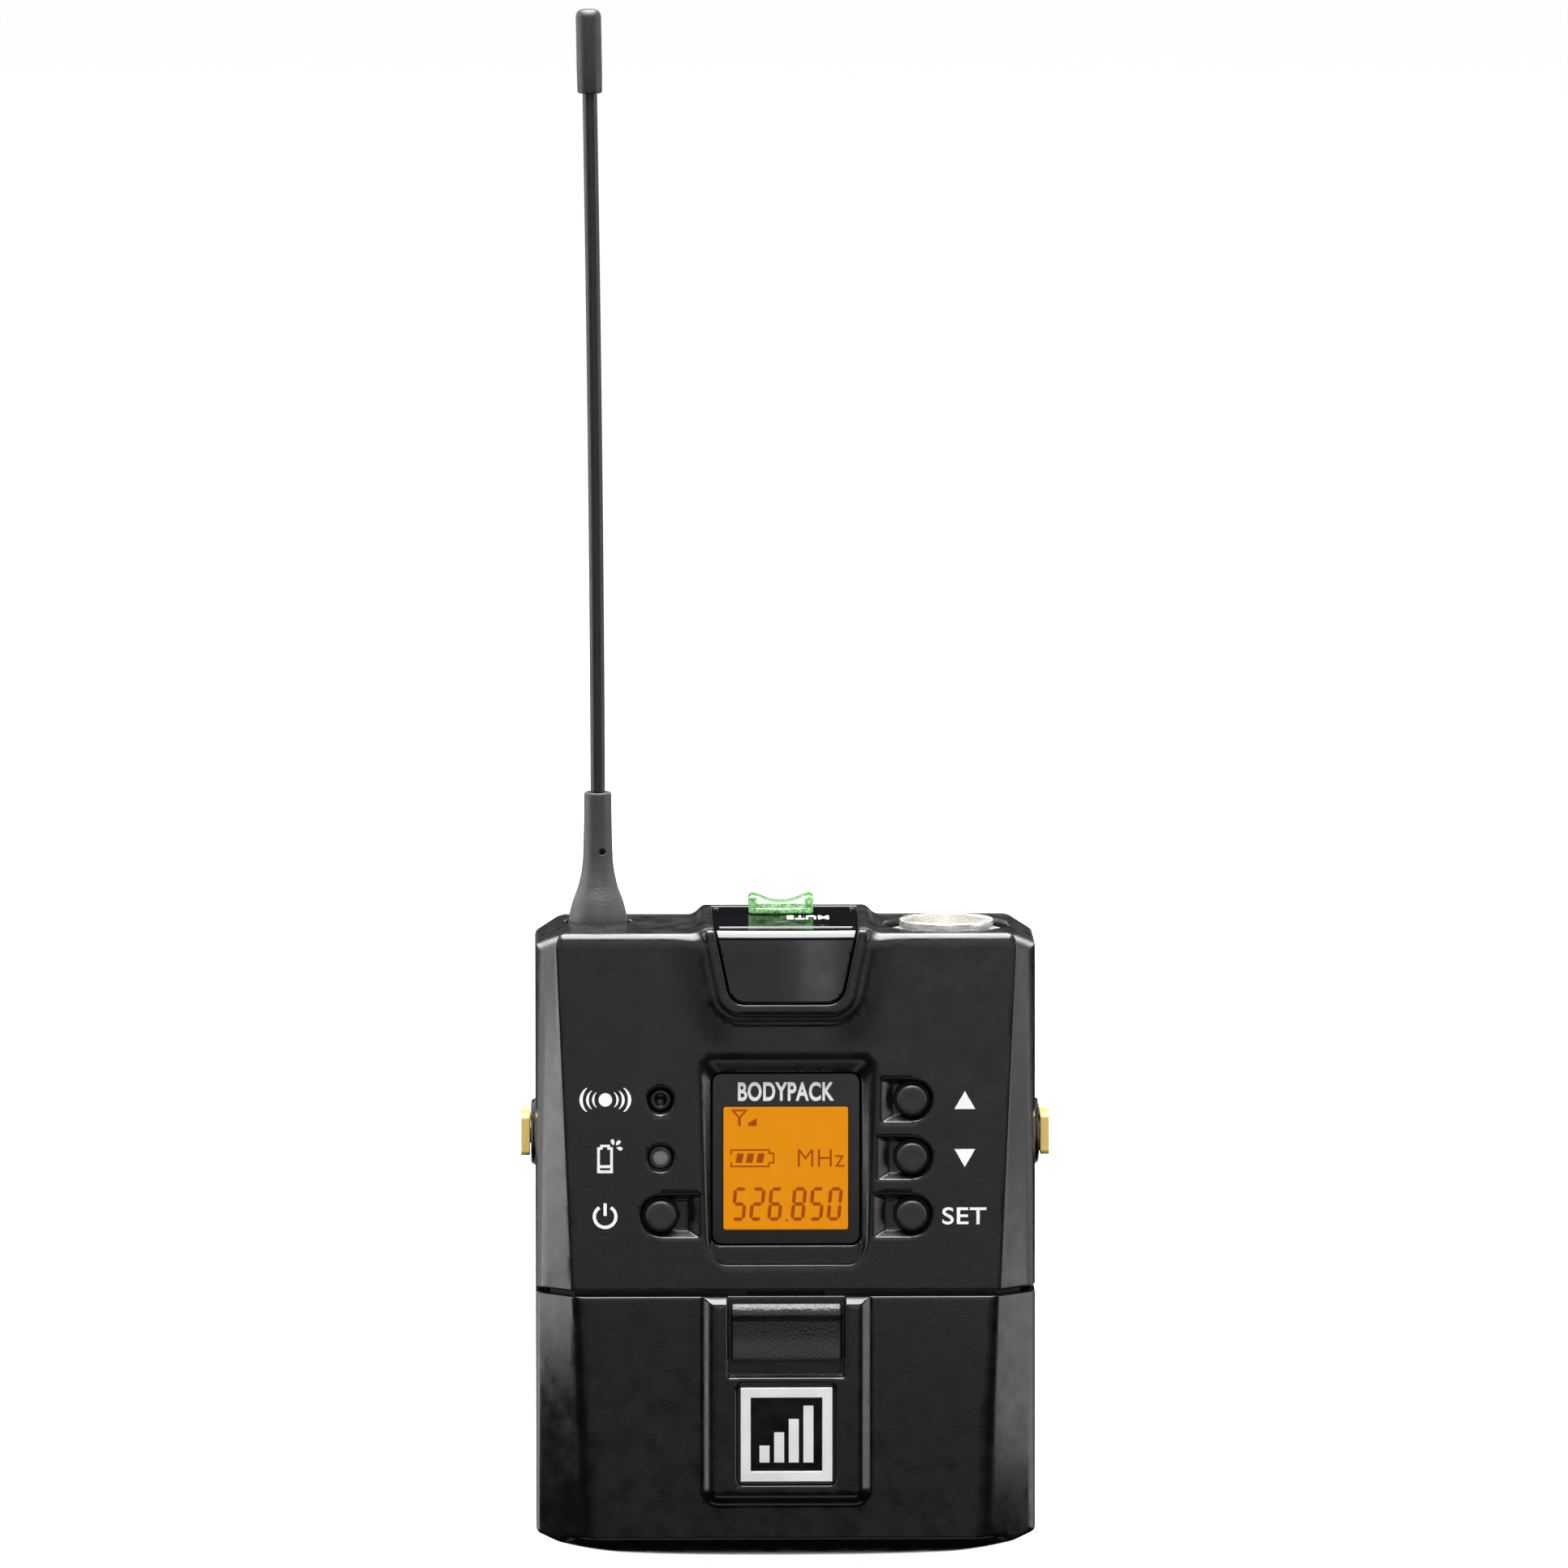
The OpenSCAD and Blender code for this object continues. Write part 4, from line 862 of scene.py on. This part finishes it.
def prints():
    """The white marks on the front: what each lamp and key is for."""
    rows = [KEYS["up"][2], KEYS["down"][2], KEYS["set"][2]]
    power = [stroke(circle((0, 0), 1.4, 40, 122, 418), 0.42),
             [(-0.21, 0.1), (0.21, 0.1), (0.21, 1.75), (-0.21, 1.75)]]
    pieces = [
        print_piece("print_infrared", infrared_icon(), -ICON_X, rows[0] + 0.15),
        print_piece("print_battery", battery_icon(), -ICON_X - 0.05, rows[1]),
        print_piece("print_power", power, -ICON_X - 0.05, rows[2] - 0.05),
        print_piece("print_up", [[(-1.35, -1.15), (1.35, -1.15), (0, 1.2)]], ICON_X - 0.3, rows[0]),
        print_piece("print_down", [[(-1.35, 1.15), (0, -1.2), (1.35, 1.15)]], ICON_X - 0.3, rows[1]),
        print_piece("print_set", None, ICON_X - 0.35, rows[2] - 0.05, text="SET", bold=0.035,
                    width=5.7, height=2.25),
    ]
    title = outline_mesh("print_title", None, PRINT_T, text="BODYPACK", bold=0.085, width=12.5, height=2.5)
    pieces.append(on_front(title, 0, TITLE_Z, LENS_LOW[1] + PRINT_T / 2 - 0.03))
    mute = outline_mesh("print_mute", None, PRINT_T, text="MUTE", bold=0.02, width=5.45, height=2.0)
    mute.data.transform(Matrix.Translation(Vector((2.95, -12.2, 0)) * MM) @ Matrix.Rotation(math.pi, 4, "Z"))
    for vertex in mute.data.vertices:
        y = vertex.co.y / MM
        vertex.co.z += (INSERT_HIGH[2] - DOME_R + math.sqrt(DOME_R ** 2 - (y - DOME_Y) ** 2) + 0.12) * MM
    return pieces + [mute]


# Display
WINDOW_X, WINDOW_Z = (-8.12, 8.05), (-8.28, 7.83)
LCD_LOW, LCD_HIGH = mm_box("lcd_panel")
SEGMENT_W, DIGIT_W, DIGIT_H = 0.46, 1.35, 3.95
LCD_SLANT = 0.133


def seven_segments(lit, centre):
    """One digit of the display, from the letters of its lit segments."""
    w, h, t = DIGIT_W / 2, DIGIT_H / 2, SEGMENT_W / 2
    slant = 0.09
    ends = {"a": ((-w, h), (w, h)), "b": ((w, h), (w, 0)), "c": ((w, 0), (w, -h)), "d": ((-w, -h), (w, -h)),
            "e": ((-w, 0), (-w, -h)), "f": ((-w, h), (-w, 0)), "g": ((-w, 0), (w, 0))}
    loops = []
    for letter in lit:
        (x0, z0), (x1, z1) = ends[letter]
        run = math.hypot(x1 - x0, z1 - z0)
        ux, uz = (x1 - x0) / run, (z1 - z0) / run
        gap = 0.06
        stop = run - gap
        shape = [(gap, 0), (gap + t, t), (stop - t, t), (stop, 0), (stop - t, -t), (gap + t, -t)]
        points = [(x0 + a * ux - b * uz, z0 + a * uz + b * ux) for a, b in shape]
        loops.append([(x + z * slant, z) for x, z in points])
    return moved(loops, *centre)


DIGITS = {"0": "abcdef", "2": "abged", "5": "afgcd", "6": "afedcg", "8": "abcdefg"}


def display_segments():
    """What the display shows: signal, battery, unit and a made-up number."""
    loops = [[(-7.15, 7.7), (-4.9, 7.7), (-5.85, 6.62), (-5.85, 5.55), (-6.2, 5.55), (-6.2, 6.62)]]
    loops += [[(-6.65, 7.47), (-6.03, 6.8), (-5.4, 7.47)]]
    loops += [[(-4.91, 5.55), (-3.77, 5.55), (-3.77, 6.6), (-4.91, 5.92)]]
    outer = [(-7.2, 1.8), (-7.2, 2.5), (-2.07, 2.5), (-2.07, 2.05), (-1.5, 2.05), (-1.5, 0.63), (-2.07, 0.63)]
    outer += [(-2.07, 0.14), (-7.2, 0.14), (-7.2, 0.84)]
    inner = [(-7.0, 0.84), (-7.0, 0.34), (-2.27, 0.34), (-2.27, 0.83), (-1.7, 0.83), (-1.7, 1.85)]
    loops += [outer + inner + [(-2.27, 1.85), (-2.27, 2.3), (-7.0, 2.3), (-7.0, 1.8)]]
    for i in range(3):
        x = -6.55 + 1.35 * i
        loops.append([(x, 0.73), (x + 0.85, 0.73), (x + 1.1, 1.95), (x + 0.25, 1.95)])
    for i, digit in enumerate("526850"):
        x = -6.04 + 2.34 * i + (0.7 if i > 2 else 0)
        loops += seven_segments(DIGITS[digit], (x, -4.7))
    loops.append(rectangle((0.0, 0.27), (-6.95, -6.68)))
    drop = -(LCD_LOW[1] - FRONT_Y) * LCD_SLANT
    loops = moved(loops, 0, drop)
    marks = on_front(outline_mesh("lcd_marks", loops, 0.06), 0, 0, LCD_LOW[1] - 0.02)
    unit = outline_mesh("lcd_unit", None, 0.06, text="MHz", bold=-0.02, width=6.05, height=2.3)
    on_front(unit, 4.58, 1.33 + drop, LCD_LOW[1] - 0.02)
    return [marks, unit]


def rectangle(x, z):
    return [(x[0], z[0]), (x[1], z[0]), (x[1], z[1]), (x[0], z[1])]


def rounded_rectangle(x, z, r):
    loop = []
    for cx, cz, turn in ((x[1] - r, z[1] - r, 0), (x[0] + r, z[1] - r, 90),
                         (x[0] + r, z[0] + r, 180), (x[1] - r, z[0] + r, 270)):
        loop += arc((cx, cz), r, turn, turn + 90, 8)
    return loop


def lens_mask():
    """The display's lens where its back is printed black, all round the window."""
    outer = rounded_rectangle((LENS_LOW[0], LENS_HIGH[0]), (LENS_LOW[2], LENS_HIGH[2]), 1.2)
    hole = rounded_rectangle(WINDOW_X, WINDOW_Z, 0.3)[::-1]
    thick = LENS_HIGH[1] - LENS_LOW[1]
    return on_front(outline_mesh("lens_mask", [outer, hole], thick), 0, 0, (LENS_LOW[1] + LENS_HIGH[1]) / 2)


def lens_pane():
    """The clear middle of the display's lens."""
    gap = 0.01
    across, up = (WINDOW_X[0] + gap, WINDOW_X[1] - gap), (WINDOW_Z[0] + gap, WINDOW_Z[1] - gap)
    loop = rounded_rectangle(across, up, 0.3)
    return on_front(outline_mesh("lens_pane", [loop], 0.9), 0, 0, (LENS_LOW[1] + LENS_HIGH[1]) / 2)


def lcd_face():
    loop = rounded_rectangle((LCD_LOW[0], LCD_HIGH[0]), (LCD_LOW[2], LCD_HIGH[2]), 0.3)
    thick = LCD_HIGH[1] - LCD_LOW[1]
    return on_front(outline_mesh("lcd_face", [loop], thick), 0, 0, (LCD_LOW[1] + LCD_HIGH[1]) / 2)


def badge_pieces():
    """The badge's bright square frame, the dark plate inside it and its four level bars."""
    low, high = BADGE_LOW, BADGE_HIGH
    ring = mm_box("badge_plate")[0][0] - low[0]
    middle = (low[2] + high[2]) / 2
    outer = rectangle((low[0], high[0]), (low[2] - middle, high[2] - middle))
    hole = rectangle((low[0] + ring, high[0] - ring), (low[2] + ring - middle, high[2] - ring - middle))
    edge = outline_mesh("badge_edge", [outer, hole[::-1]], high[1] - low[1])
    plate = outline_mesh("badge_ground", [hole], 0.4)
    bars = [rectangle((x, x + 1.3), (-3.7, -1.5 + 1.75 * i)) for i, x in enumerate((-3.5, -1.6, 0.3, 2.2))]
    levels = outline_mesh("badge_levels", bars, 0.15)
    on_front(edge, 0, middle, (low[1] + high[1]) / 2)
    on_front(plate, 0, middle, high[1] - 0.2)
    on_front(levels, 0, middle, high[1] - 0.46)
    return edge, plate, levels


# Finishes
MOTTLE = 0.1


class Shader:
    """A new material, with shorthands for its nodes."""

    def __init__(self, name):
        self.material = bpy.data.materials.new(name)
        self.material.use_nodes = True
        self.nodes, self.links = self.material.node_tree.nodes, self.material.node_tree.links
        self.surface = self.nodes["Principled BSDF"]
        self.place = self.add("TexCoord").outputs["Object"]

    def feed(self, node, inputs):
        """Links or sets a node's inputs, given by name or number."""
        for key, value in inputs.items():
            if isinstance(value, bpy.types.NodeSocket):
                self.links.new(value, node.inputs[key])
            else:
                node.inputs[key].default_value = value

    def add(self, kind, inputs=None, **traits):
        node = self.nodes.new("ShaderNode" + kind)
        for key, value in traits.items():
            setattr(node, key, value)
        self.feed(node, inputs or {})
        return node

    def noise(self, size, detail=3.0, stretch=None):
        """Noise whose features are about size millimetres, or longer along one axis."""
        place = self.place
        if stretch:
            place = self.add("Mapping", {"Scale": stretch, "Vector": place}).outputs["Vector"]
        texture = self.add("TexNoise", {"Scale": 1 / (size * MM), "Detail": detail, "Vector": place})
        return texture.outputs["Fac"]

    def spread(self, source, low, high, from_low=0.3, from_high=0.7):
        """A value brought from one range to another."""
        ends = {"From Min": from_low, "From Max": from_high, "To Min": low, "To Max": high}
        return self.add("MapRange", {**ends, "Value": source}).outputs["Result"]

    def mixed(self, factor, a, b):
        """A mix of two colours, of which the first may be another mix."""
        a = a if isinstance(a, bpy.types.NodeSocket) else (*a, 1)
        mix = self.add("Mix", {"Factor": factor, "A": a, "B": (*b, 1)}, data_type="RGBA")
        return mix.outputs["Result"]

    def maths(self, operation, a, b=0.0):
        return self.add("Math", {0: a, 1: b}, operation=operation).outputs["Value"]

    def layered(self, factor, under, over):
        return self.add("MixShader", {"Fac": factor, 1: under.outputs[0], 2: over.outputs[0]})

    def coated(self, under, index, roughness):
        """Puts a reflection that grows at a slant over another shader."""
        slant = self.add("Fresnel", {"IOR": index}).outputs["Fac"]
        skin = self.layered(slant, under, self.add("BsdfGlossy", {"Roughness": roughness}))
        self.links.new(skin.outputs["Shader"], self.nodes["Material Output"].inputs["Surface"])


def finish(name, colour, rough, grain, depth, metal=0.0, wear=0.0, vary=0.06, stretch=None):
    """A surface with mottled colour and roughness, grain in its bump and worn edges."""
    made = Shader(name)
    dark, light = [c * (1 - MOTTLE) for c in colour], [min(c * (1 + MOTTLE), 1) for c in colour]
    paint = made.mixed(made.spread(made.noise(6.0), 0, 1), dark, light)
    if wear:
        bare = made.spread(made.add("NewGeometry").outputs["Pointiness"], 0, wear, 0.57, 0.68)
        paint = made.mixed(bare, paint, [min(c * 2 + 0.01, 1) for c in colour])
    matt = made.spread(made.noise(2.5, 2.0, stretch), max(rough - vary, 0.02), rough + vary)
    fine = made.noise(grain, 1.5, stretch)
    bump = made.add("Bump", {"Strength": 1.0, "Distance": depth * MM, "Height": fine}).outputs["Normal"]
    made.feed(made.surface, {"Base Color": paint, "Roughness": matt, "Normal": bump, "Metallic": metal})
    return made.material


def linear(r, g, b):
    """Linear colour from sRGB values of 0 to 255."""
    return [c / 255 / 12.92 if c < 10 else ((c / 255 + 0.055) / 1.055) ** 2.4 for c in (r, g, b)]


def lit(name, colour, mottle):
    """A lit surface with a faint unevenness, mottle millimetres wide."""
    made = Shader(name)
    glow = made.mixed(made.spread(made.noise(mottle), 0, 1), [c * 0.97 for c in colour], colour)
    matt = made.spread(made.noise(1.0), 0.25, 0.35)
    made.feed(made.surface, {"Emission Color": glow, "Emission Strength": 1.0, "Roughness": matt,
                             "Base Color": (0.01, 0.006, 0.002, 1), "Specular IOR Level": 0.05})
    return made.material


def clear(name):
    """Polished clear plastic: see-through, with a reflection that grows at a slant."""
    made = Shader(name)
    made.nodes.remove(made.surface)
    made.coated(made.add("BsdfTransparent"), 1.12, made.spread(made.noise(4.0), 0.02, 0.07))
    return made.material


def edge_lit(name, centre, half, foot):
    """Clear plastic with a painted edge glow: green painted at its ends, its foot and its rims, where light
    gathers in it.
    """
    made = Shader(name)
    split = made.add("SeparateXYZ", {"Vector": made.place}).outputs
    away = made.maths("ABSOLUTE", made.maths("SUBTRACT", split["X"], centre * MM))
    rim = made.add("LayerWeight").outputs["Facing"]
    # painted edge glow: a green mask at the ends, the foot and the rims stands in for light gathered in the
    # plastic
    painted_edge_glow = made.spread(away, 0, 0.8, (half - 1.3) * MM, (half - 0.9) * MM)
    base = made.spread(split["Z"], 0.75, 0, (foot - 0.1) * MM, (foot + 0.1) * MM)
    painted_edge_glow = made.maths("MAXIMUM", painted_edge_glow, base)
    painted_edge_glow = made.maths("MAXIMUM", painted_edge_glow, made.spread(rim, 0, 0.7, 0.45, 0.85))
    speckle = made.spread(made.noise(0.35), 0, 1, 0.35, 0.65)
    made.feed(made.surface, {"Base Color": made.mixed(speckle, linear(40, 120, 36), linear(150, 214, 134)),
                             "Roughness": made.spread(made.noise(3.0), 0.08, 0.2)})
    through = made.add("BsdfTransparent", {"Color": (0.93, 0.98, 0.92, 1)})
    made.coated(made.layered(painted_edge_glow, through, made.surface), 1.4, 0.08)
    return made.material


FINISHES = {
    "case_plastic": finish("case_plastic", linear(14, 14, 15), 0.29, 0.26, 0.009, wear=0.1),
    "door_plastic": finish("door_plastic", linear(10, 10, 11), 0.22, 0.3, 0.006, wear=0.1),
    "latch_plastic": finish("latch_plastic", linear(16, 16, 17), 0.32, 0.36, 0.05, wear=0.2),
    "tray_plastic": finish("tray_plastic", linear(34, 34, 35), 0.55, 0.2, 0.008),
    "button_plastic": finish("button_plastic", linear(34, 34, 36), 0.42, 0.14, 0.01, wear=0.2),
    "gloss_black": finish("gloss_black", linear(8, 8, 9), 0.12, 1.2, 0.001, vary=0.03),
    "lens_plastic": finish("lens_plastic", linear(8, 8, 9), 0.1, 1.2, 0.001, vary=0.03),
    "light_guide": finish("light_guide", linear(232, 230, 222), 0.35, 0.5, 0.003),
    "lamp_lens": finish("lamp_lens", linear(116, 118, 118), 0.35, 0.3, 0.004),
    "ir_plastic": finish("ir_plastic", linear(14, 10, 11), 0.2, 0.5, 0.003),
    "green_plastic": edge_lit("green_plastic", (SLIDER_LOW[0] + SLIDER_HIGH[0]) / 2,
                              (SLIDER_HIGH[0] - SLIDER_LOW[0]) / 2, INSERT_HIGH[2] + 0.95),
    "boot_rubber": finish("boot_rubber", linear(48, 48, 49), 0.5, 0.2, 0.06),
    "whip_jacket": finish("whip_jacket", linear(12, 12, 13), 0.45, 0.25, 0.01),
    "board_laminate": finish("board_laminate", linear(30, 84, 52), 0.4, 0.4, 0.01),
    "flex_laminate": finish("flex_laminate", linear(176, 98, 30), 0.35, 0.4, 0.006),
    "chip_plastic": finish("chip_plastic", linear(34, 34, 36), 0.5, 0.2, 0.006),
    "cell_jacket": finish("cell_jacket", linear(52, 78, 128), 0.25, 0.8, 0.002),
    "screw_steel": finish("screw_steel", linear(178, 180, 182), 0.3, 0.2, 0.006, metal=1.0),
    "plated_steel": finish("plated_steel", linear(205, 206, 208), 0.28, 0.3, 0.004, 1.0, stretch=(1, 1, 8)),
    "nickel": finish("nickel", linear(228, 227, 222), 0.26, 0.2, 0.004, 0.8, 0.3, stretch=(1, 1, 12)),
    "bright_chrome": finish("bright_chrome", linear(246, 246, 245), 0.34, 0.12, 0.006, 0.35,
                            stretch=(12, 1, 1)),
    "brass": finish("brass", linear(200, 158, 82), 0.28, 0.3, 0.004, metal=1.0),
    "gold_plate": finish("gold_plate", linear(226, 188, 108), 0.22, 0.3, 0.003, metal=1.0),
    "passivated_steel": finish("passivated_steel", linear(255, 217, 132), 0.36, 0.25, 0.006, 0.45, 0.2,
                               stretch=(1, 1, 6)),
}
TIP_RUBBER = finish("tip_rubber", linear(30, 30, 31), 0.5, 0.25, 0.02)
WHITE_INK = finish("white_ink", linear(248, 248, 248), 0.5, 0.1, 0.004)
LCD_AMBER = lit("lcd_amber", linear(229, 142, 5), 3.0)
LCD_DARK = lit("lcd_dark", linear(158, 73, 7), 1.0)
CLEAR = clear("clear_plastic")


def dress(piece, body, made, slot, *nodes):
    """Gives a new piece its finish and its body, and hides the CAD nodes it stands for."""
    piece.data.materials.clear()
    piece.data.materials.append(made)
    if "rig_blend" not in piece:
        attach(piece, body)
    if nodes:
        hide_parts(*nodes)
    return piece


def field_piece(name, node, form_of, step, body, slot):
    low, high = mm_box(node)
    s = Space(low, high, step)
    return dress(moulded(name, s, form_of(s)), body, FINISHES[slot], slot, node)


def broken_edges(piece, width):
    """Rounds the edges of a piece a little, as on any made thing."""
    weld = piece.modifiers.new("weld", "WELD")
    weld.merge_threshold = 1e-6
    flat = piece.modifiers.new("flat", "DECIMATE")
    flat.decimate_type, flat.angle_limit = "DISSOLVE", math.radians(1)
    bevel = piece.modifiers.new("bevel", "BEVEL")
    bevel.width, bevel.segments, bevel.angle_limit = width * MM, 2, math.radians(35)
    bevel.use_clamp_overlap = False
    piece.modifiers.new("shade", "WEIGHTED_NORMAL").keep_sharp = True


def keep_cad(node, width=0.12):
    """Shows a CAD node in its record's material, with its edges broken."""
    piece = frame["nodes"][node]
    mesh = piece.data
    if "custom_normal" in mesh.attributes:
        mesh.attributes.remove(mesh.attributes["custom_normal"])
    mesh.shade_smooth()
    slot = next(p["material_slot"] for p in frame["record"]["subparts"] if p["node"] == node)
    mesh.materials.clear()
    mesh.materials.append(FINISHES[slot])
    broken_edges(piece, width)


field_piece("shell", "front_shell", front_shell_form, VOXEL, "case", "case_plastic")
field_piece("cover", "rear_cover", rear_cover_form, VOXEL, "case", "case_plastic")
field_piece("door", "battery_door", door_form, VOXEL, "door", "door_plastic")
field_piece("latch_tab", "door_latch", latch_form, FINE_VOXEL, "latch", "latch_plastic")
field_piece("mute_cover", "mute_insert", insert_form, FINE_VOXEL, "case", "gloss_black")
field_piece("mute_knob_top", "mute_slider", slider_form, FINE_VOXEL, "mute_knob", "green_plastic")
field_piece("boot", "antenna_boot", boot_form, FINE_VOXEL, "case", "boot_rubber")
for name in KEYS:
    dress(turned_key(name), name + "_key", FINISHES["button_plastic"], "button_plastic", name + "_button")
dress(turned_lamp("led_lens", 1.05, 1.7, 0.03), "case", FINISHES["lamp_lens"], "lamp_lens", "led_lens")
dress(turned_window(), "case", FINISHES["ir_plastic"], "ir_plastic", "ir_window")
dress(whip(), "antenna", FINISHES["whip_jacket"], "whip_jacket", "antenna_whip")
dress(whip_cap(), "antenna", TIP_RUBBER, "boot_rubber", "antenna_cap")
for node in ("upper_cell", "lower_cell"):
    dress(cell(node + "_can", node), "case", FINISHES["cell_jacket"], "cell_jacket", node)
mask = dress(lens_mask(), "case", FINISHES["lens_plastic"], "lens_plastic", "display_lens")
broken_edges(mask, 0.12)
dress(lens_pane(), "case", CLEAR, "lens_plastic")
dress(lcd_face(), "case", LCD_AMBER, "lcd_glass", "lcd_panel")
for piece in display_segments():
    dress(piece, "case", LCD_DARK, "lcd_glass")
for piece in prints():
    dress(piece, "case", WHITE_INK, "case_plastic")
edge, plate, levels = badge_pieces()
dress(edge, "door", FINISHES["bright_chrome"], "bright_chrome", "badge_frame")
dress(plate, "door", FINISHES["gloss_black"], "gloss_black", "badge_plate")
dress(levels, "door", FINISHES["bright_chrome"], "bright_chrome", "badge_bars")
broken_edges(edge, 0.06)
spring = coil("latch_coil", "latch_spring", 5, 0.16)
dress(spring, "door", FINISHES["plated_steel"], "plated_steel", "latch_spring")
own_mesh(spring)
SMALL = ("mic_pins", "badge_bars", "board_chips", "status_led", "cell_springs")
for node, piece in frame["nodes"].items():
    if not piece.hide_render:
        keep_cad(node, 0.04 if node in SMALL else 0.12)


# Camera and light
AIM = Vector((-0.1, -10, 48.84)) * MM
CAMERA_AWAY, CAMERA_AZIMUTH, CAMERA_RISE = 2.0, math.radians(-1), math.radians(7)


def toward(azimuth, rise):
    """The direction seen from the object, where azimuth 0 is its front and grows to its right."""
    return Vector((math.sin(azimuth) * math.cos(rise), -math.cos(azimuth) * math.cos(rise), math.sin(rise)))


lens = bpy.data.cameras.new("camera")
lens.lens, lens.sensor_width, lens.clip_end = 353.2, 36, 10
camera = bpy.data.objects.new("camera", lens)
bpy.context.scene.collection.objects.link(camera)
camera.location = AIM + toward(CAMERA_AZIMUTH, CAMERA_RISE) * CAMERA_AWAY
camera.rotation_euler = toward(CAMERA_AZIMUTH, CAMERA_RISE).to_track_quat("Z", "Y").to_euler()
bpy.context.scene.camera = camera
bpy.context.scene.view_settings.view_transform = "Standard"


def softbox(name, azimuth, rise, away, width, height, radiance):
    """A soft area light that faces the object from one direction, unseen by the camera."""
    light = bpy.data.lights.new(name, "AREA")
    light.shape, light.size, light.size_y = "RECTANGLE", width, height
    light.energy = math.pi * width * height * radiance
    box = bpy.data.objects.new(name, light)
    bpy.context.scene.collection.objects.link(box)
    way = toward(math.radians(azimuth), math.radians(rise))
    box.location = Vector((0, -10, 0)) * MM + way * away
    box.rotation_euler = way.to_track_quat("Z", "Y").to_euler()
    box.visible_camera = False
    return box


softbox("left_softbox", -96, 8, 0.8, 0.6, 0.9, 4.0)
softbox("left_wing", -131, 8, 0.8, 0.3, 0.9, 1.2)
softbox("left_rim", -148, 14, 0.8, 0.2, 0.2, 5.0)
softbox("right_softbox", 81, 8, 0.9, 0.5, 0.8, 2.9)
softbox("right_wing", 115, 8, 0.9, 0.6, 0.8, 1.0)
softbox("right_rim", 148, 14, 0.8, 0.2, 0.2, 5.0)
softbox("top_softbox", 0, 92, 0.8, 0.8, 1.1, 18.0)
softbox("front_card", 2, 12.5, 1.2, 1.5, 0.95, 0.78)
softbox("front_strip", 5.1, 12.5, 1.15, 0.088, 0.92, 1.3)
softbox("low_card", 0, -63, 0.8, 0.6, 0.3, 0.8)
softbox("rear_card", 180, -32, 0.8, 1.6, 0.4, 0.9)


def room():
    """White behind the object, and nearly black in its reflections."""
    world = bpy.data.worlds.new("room")
    bpy.context.scene.world = world
    world.use_nodes = True
    nodes, links = world.node_tree.nodes, world.node_tree.links
    back = nodes["Background"]
    back.inputs["Color"].default_value = (0.006, 0.006, 0.006, 1)
    white, mix = nodes.new("ShaderNodeBackground"), nodes.new("ShaderNodeMixShader")
    ray = nodes.new("ShaderNodeLightPath")
    white.inputs["Color"].default_value = (1, 1, 1, 1)
    links.new(ray.outputs["Is Camera Ray"], mix.inputs["Fac"])
    links.new(back.outputs["Background"], mix.inputs[1])
    links.new(white.outputs["Background"], mix.inputs[2])
    links.new(mix.outputs["Shader"], nodes["World Output"].inputs["Surface"])


def floor():
    """The pale floor the object stands on."""
    half, low = 3.0, cad_box[0].z
    mesh = bpy.data.meshes.new("floor")
    corners = [(-half, -half, low), (half, -half, low), (half, half, low), (-half, half, low)]
    mesh.from_pydata(corners, [], [(0, 1, 2, 3)])
    piece = bpy.data.objects.new("floor", mesh)
    bpy.context.scene.collection.objects.link(piece)
    made = Shader("floor")
    made.feed(made.surface, {"Base Color": (0.3, 0.3, 0.3, 1), "Roughness": 0.9, "Specular IOR Level": 0.0,
                             "Emission Color": (1, 1, 1, 1), "Emission Strength": 0.97})
    mesh.materials.append(made.material)
    piece.visible_glossy = piece.visible_diffuse = piece.visible_shadow = False


room()
floor()
bpy.context.view_layer.update()
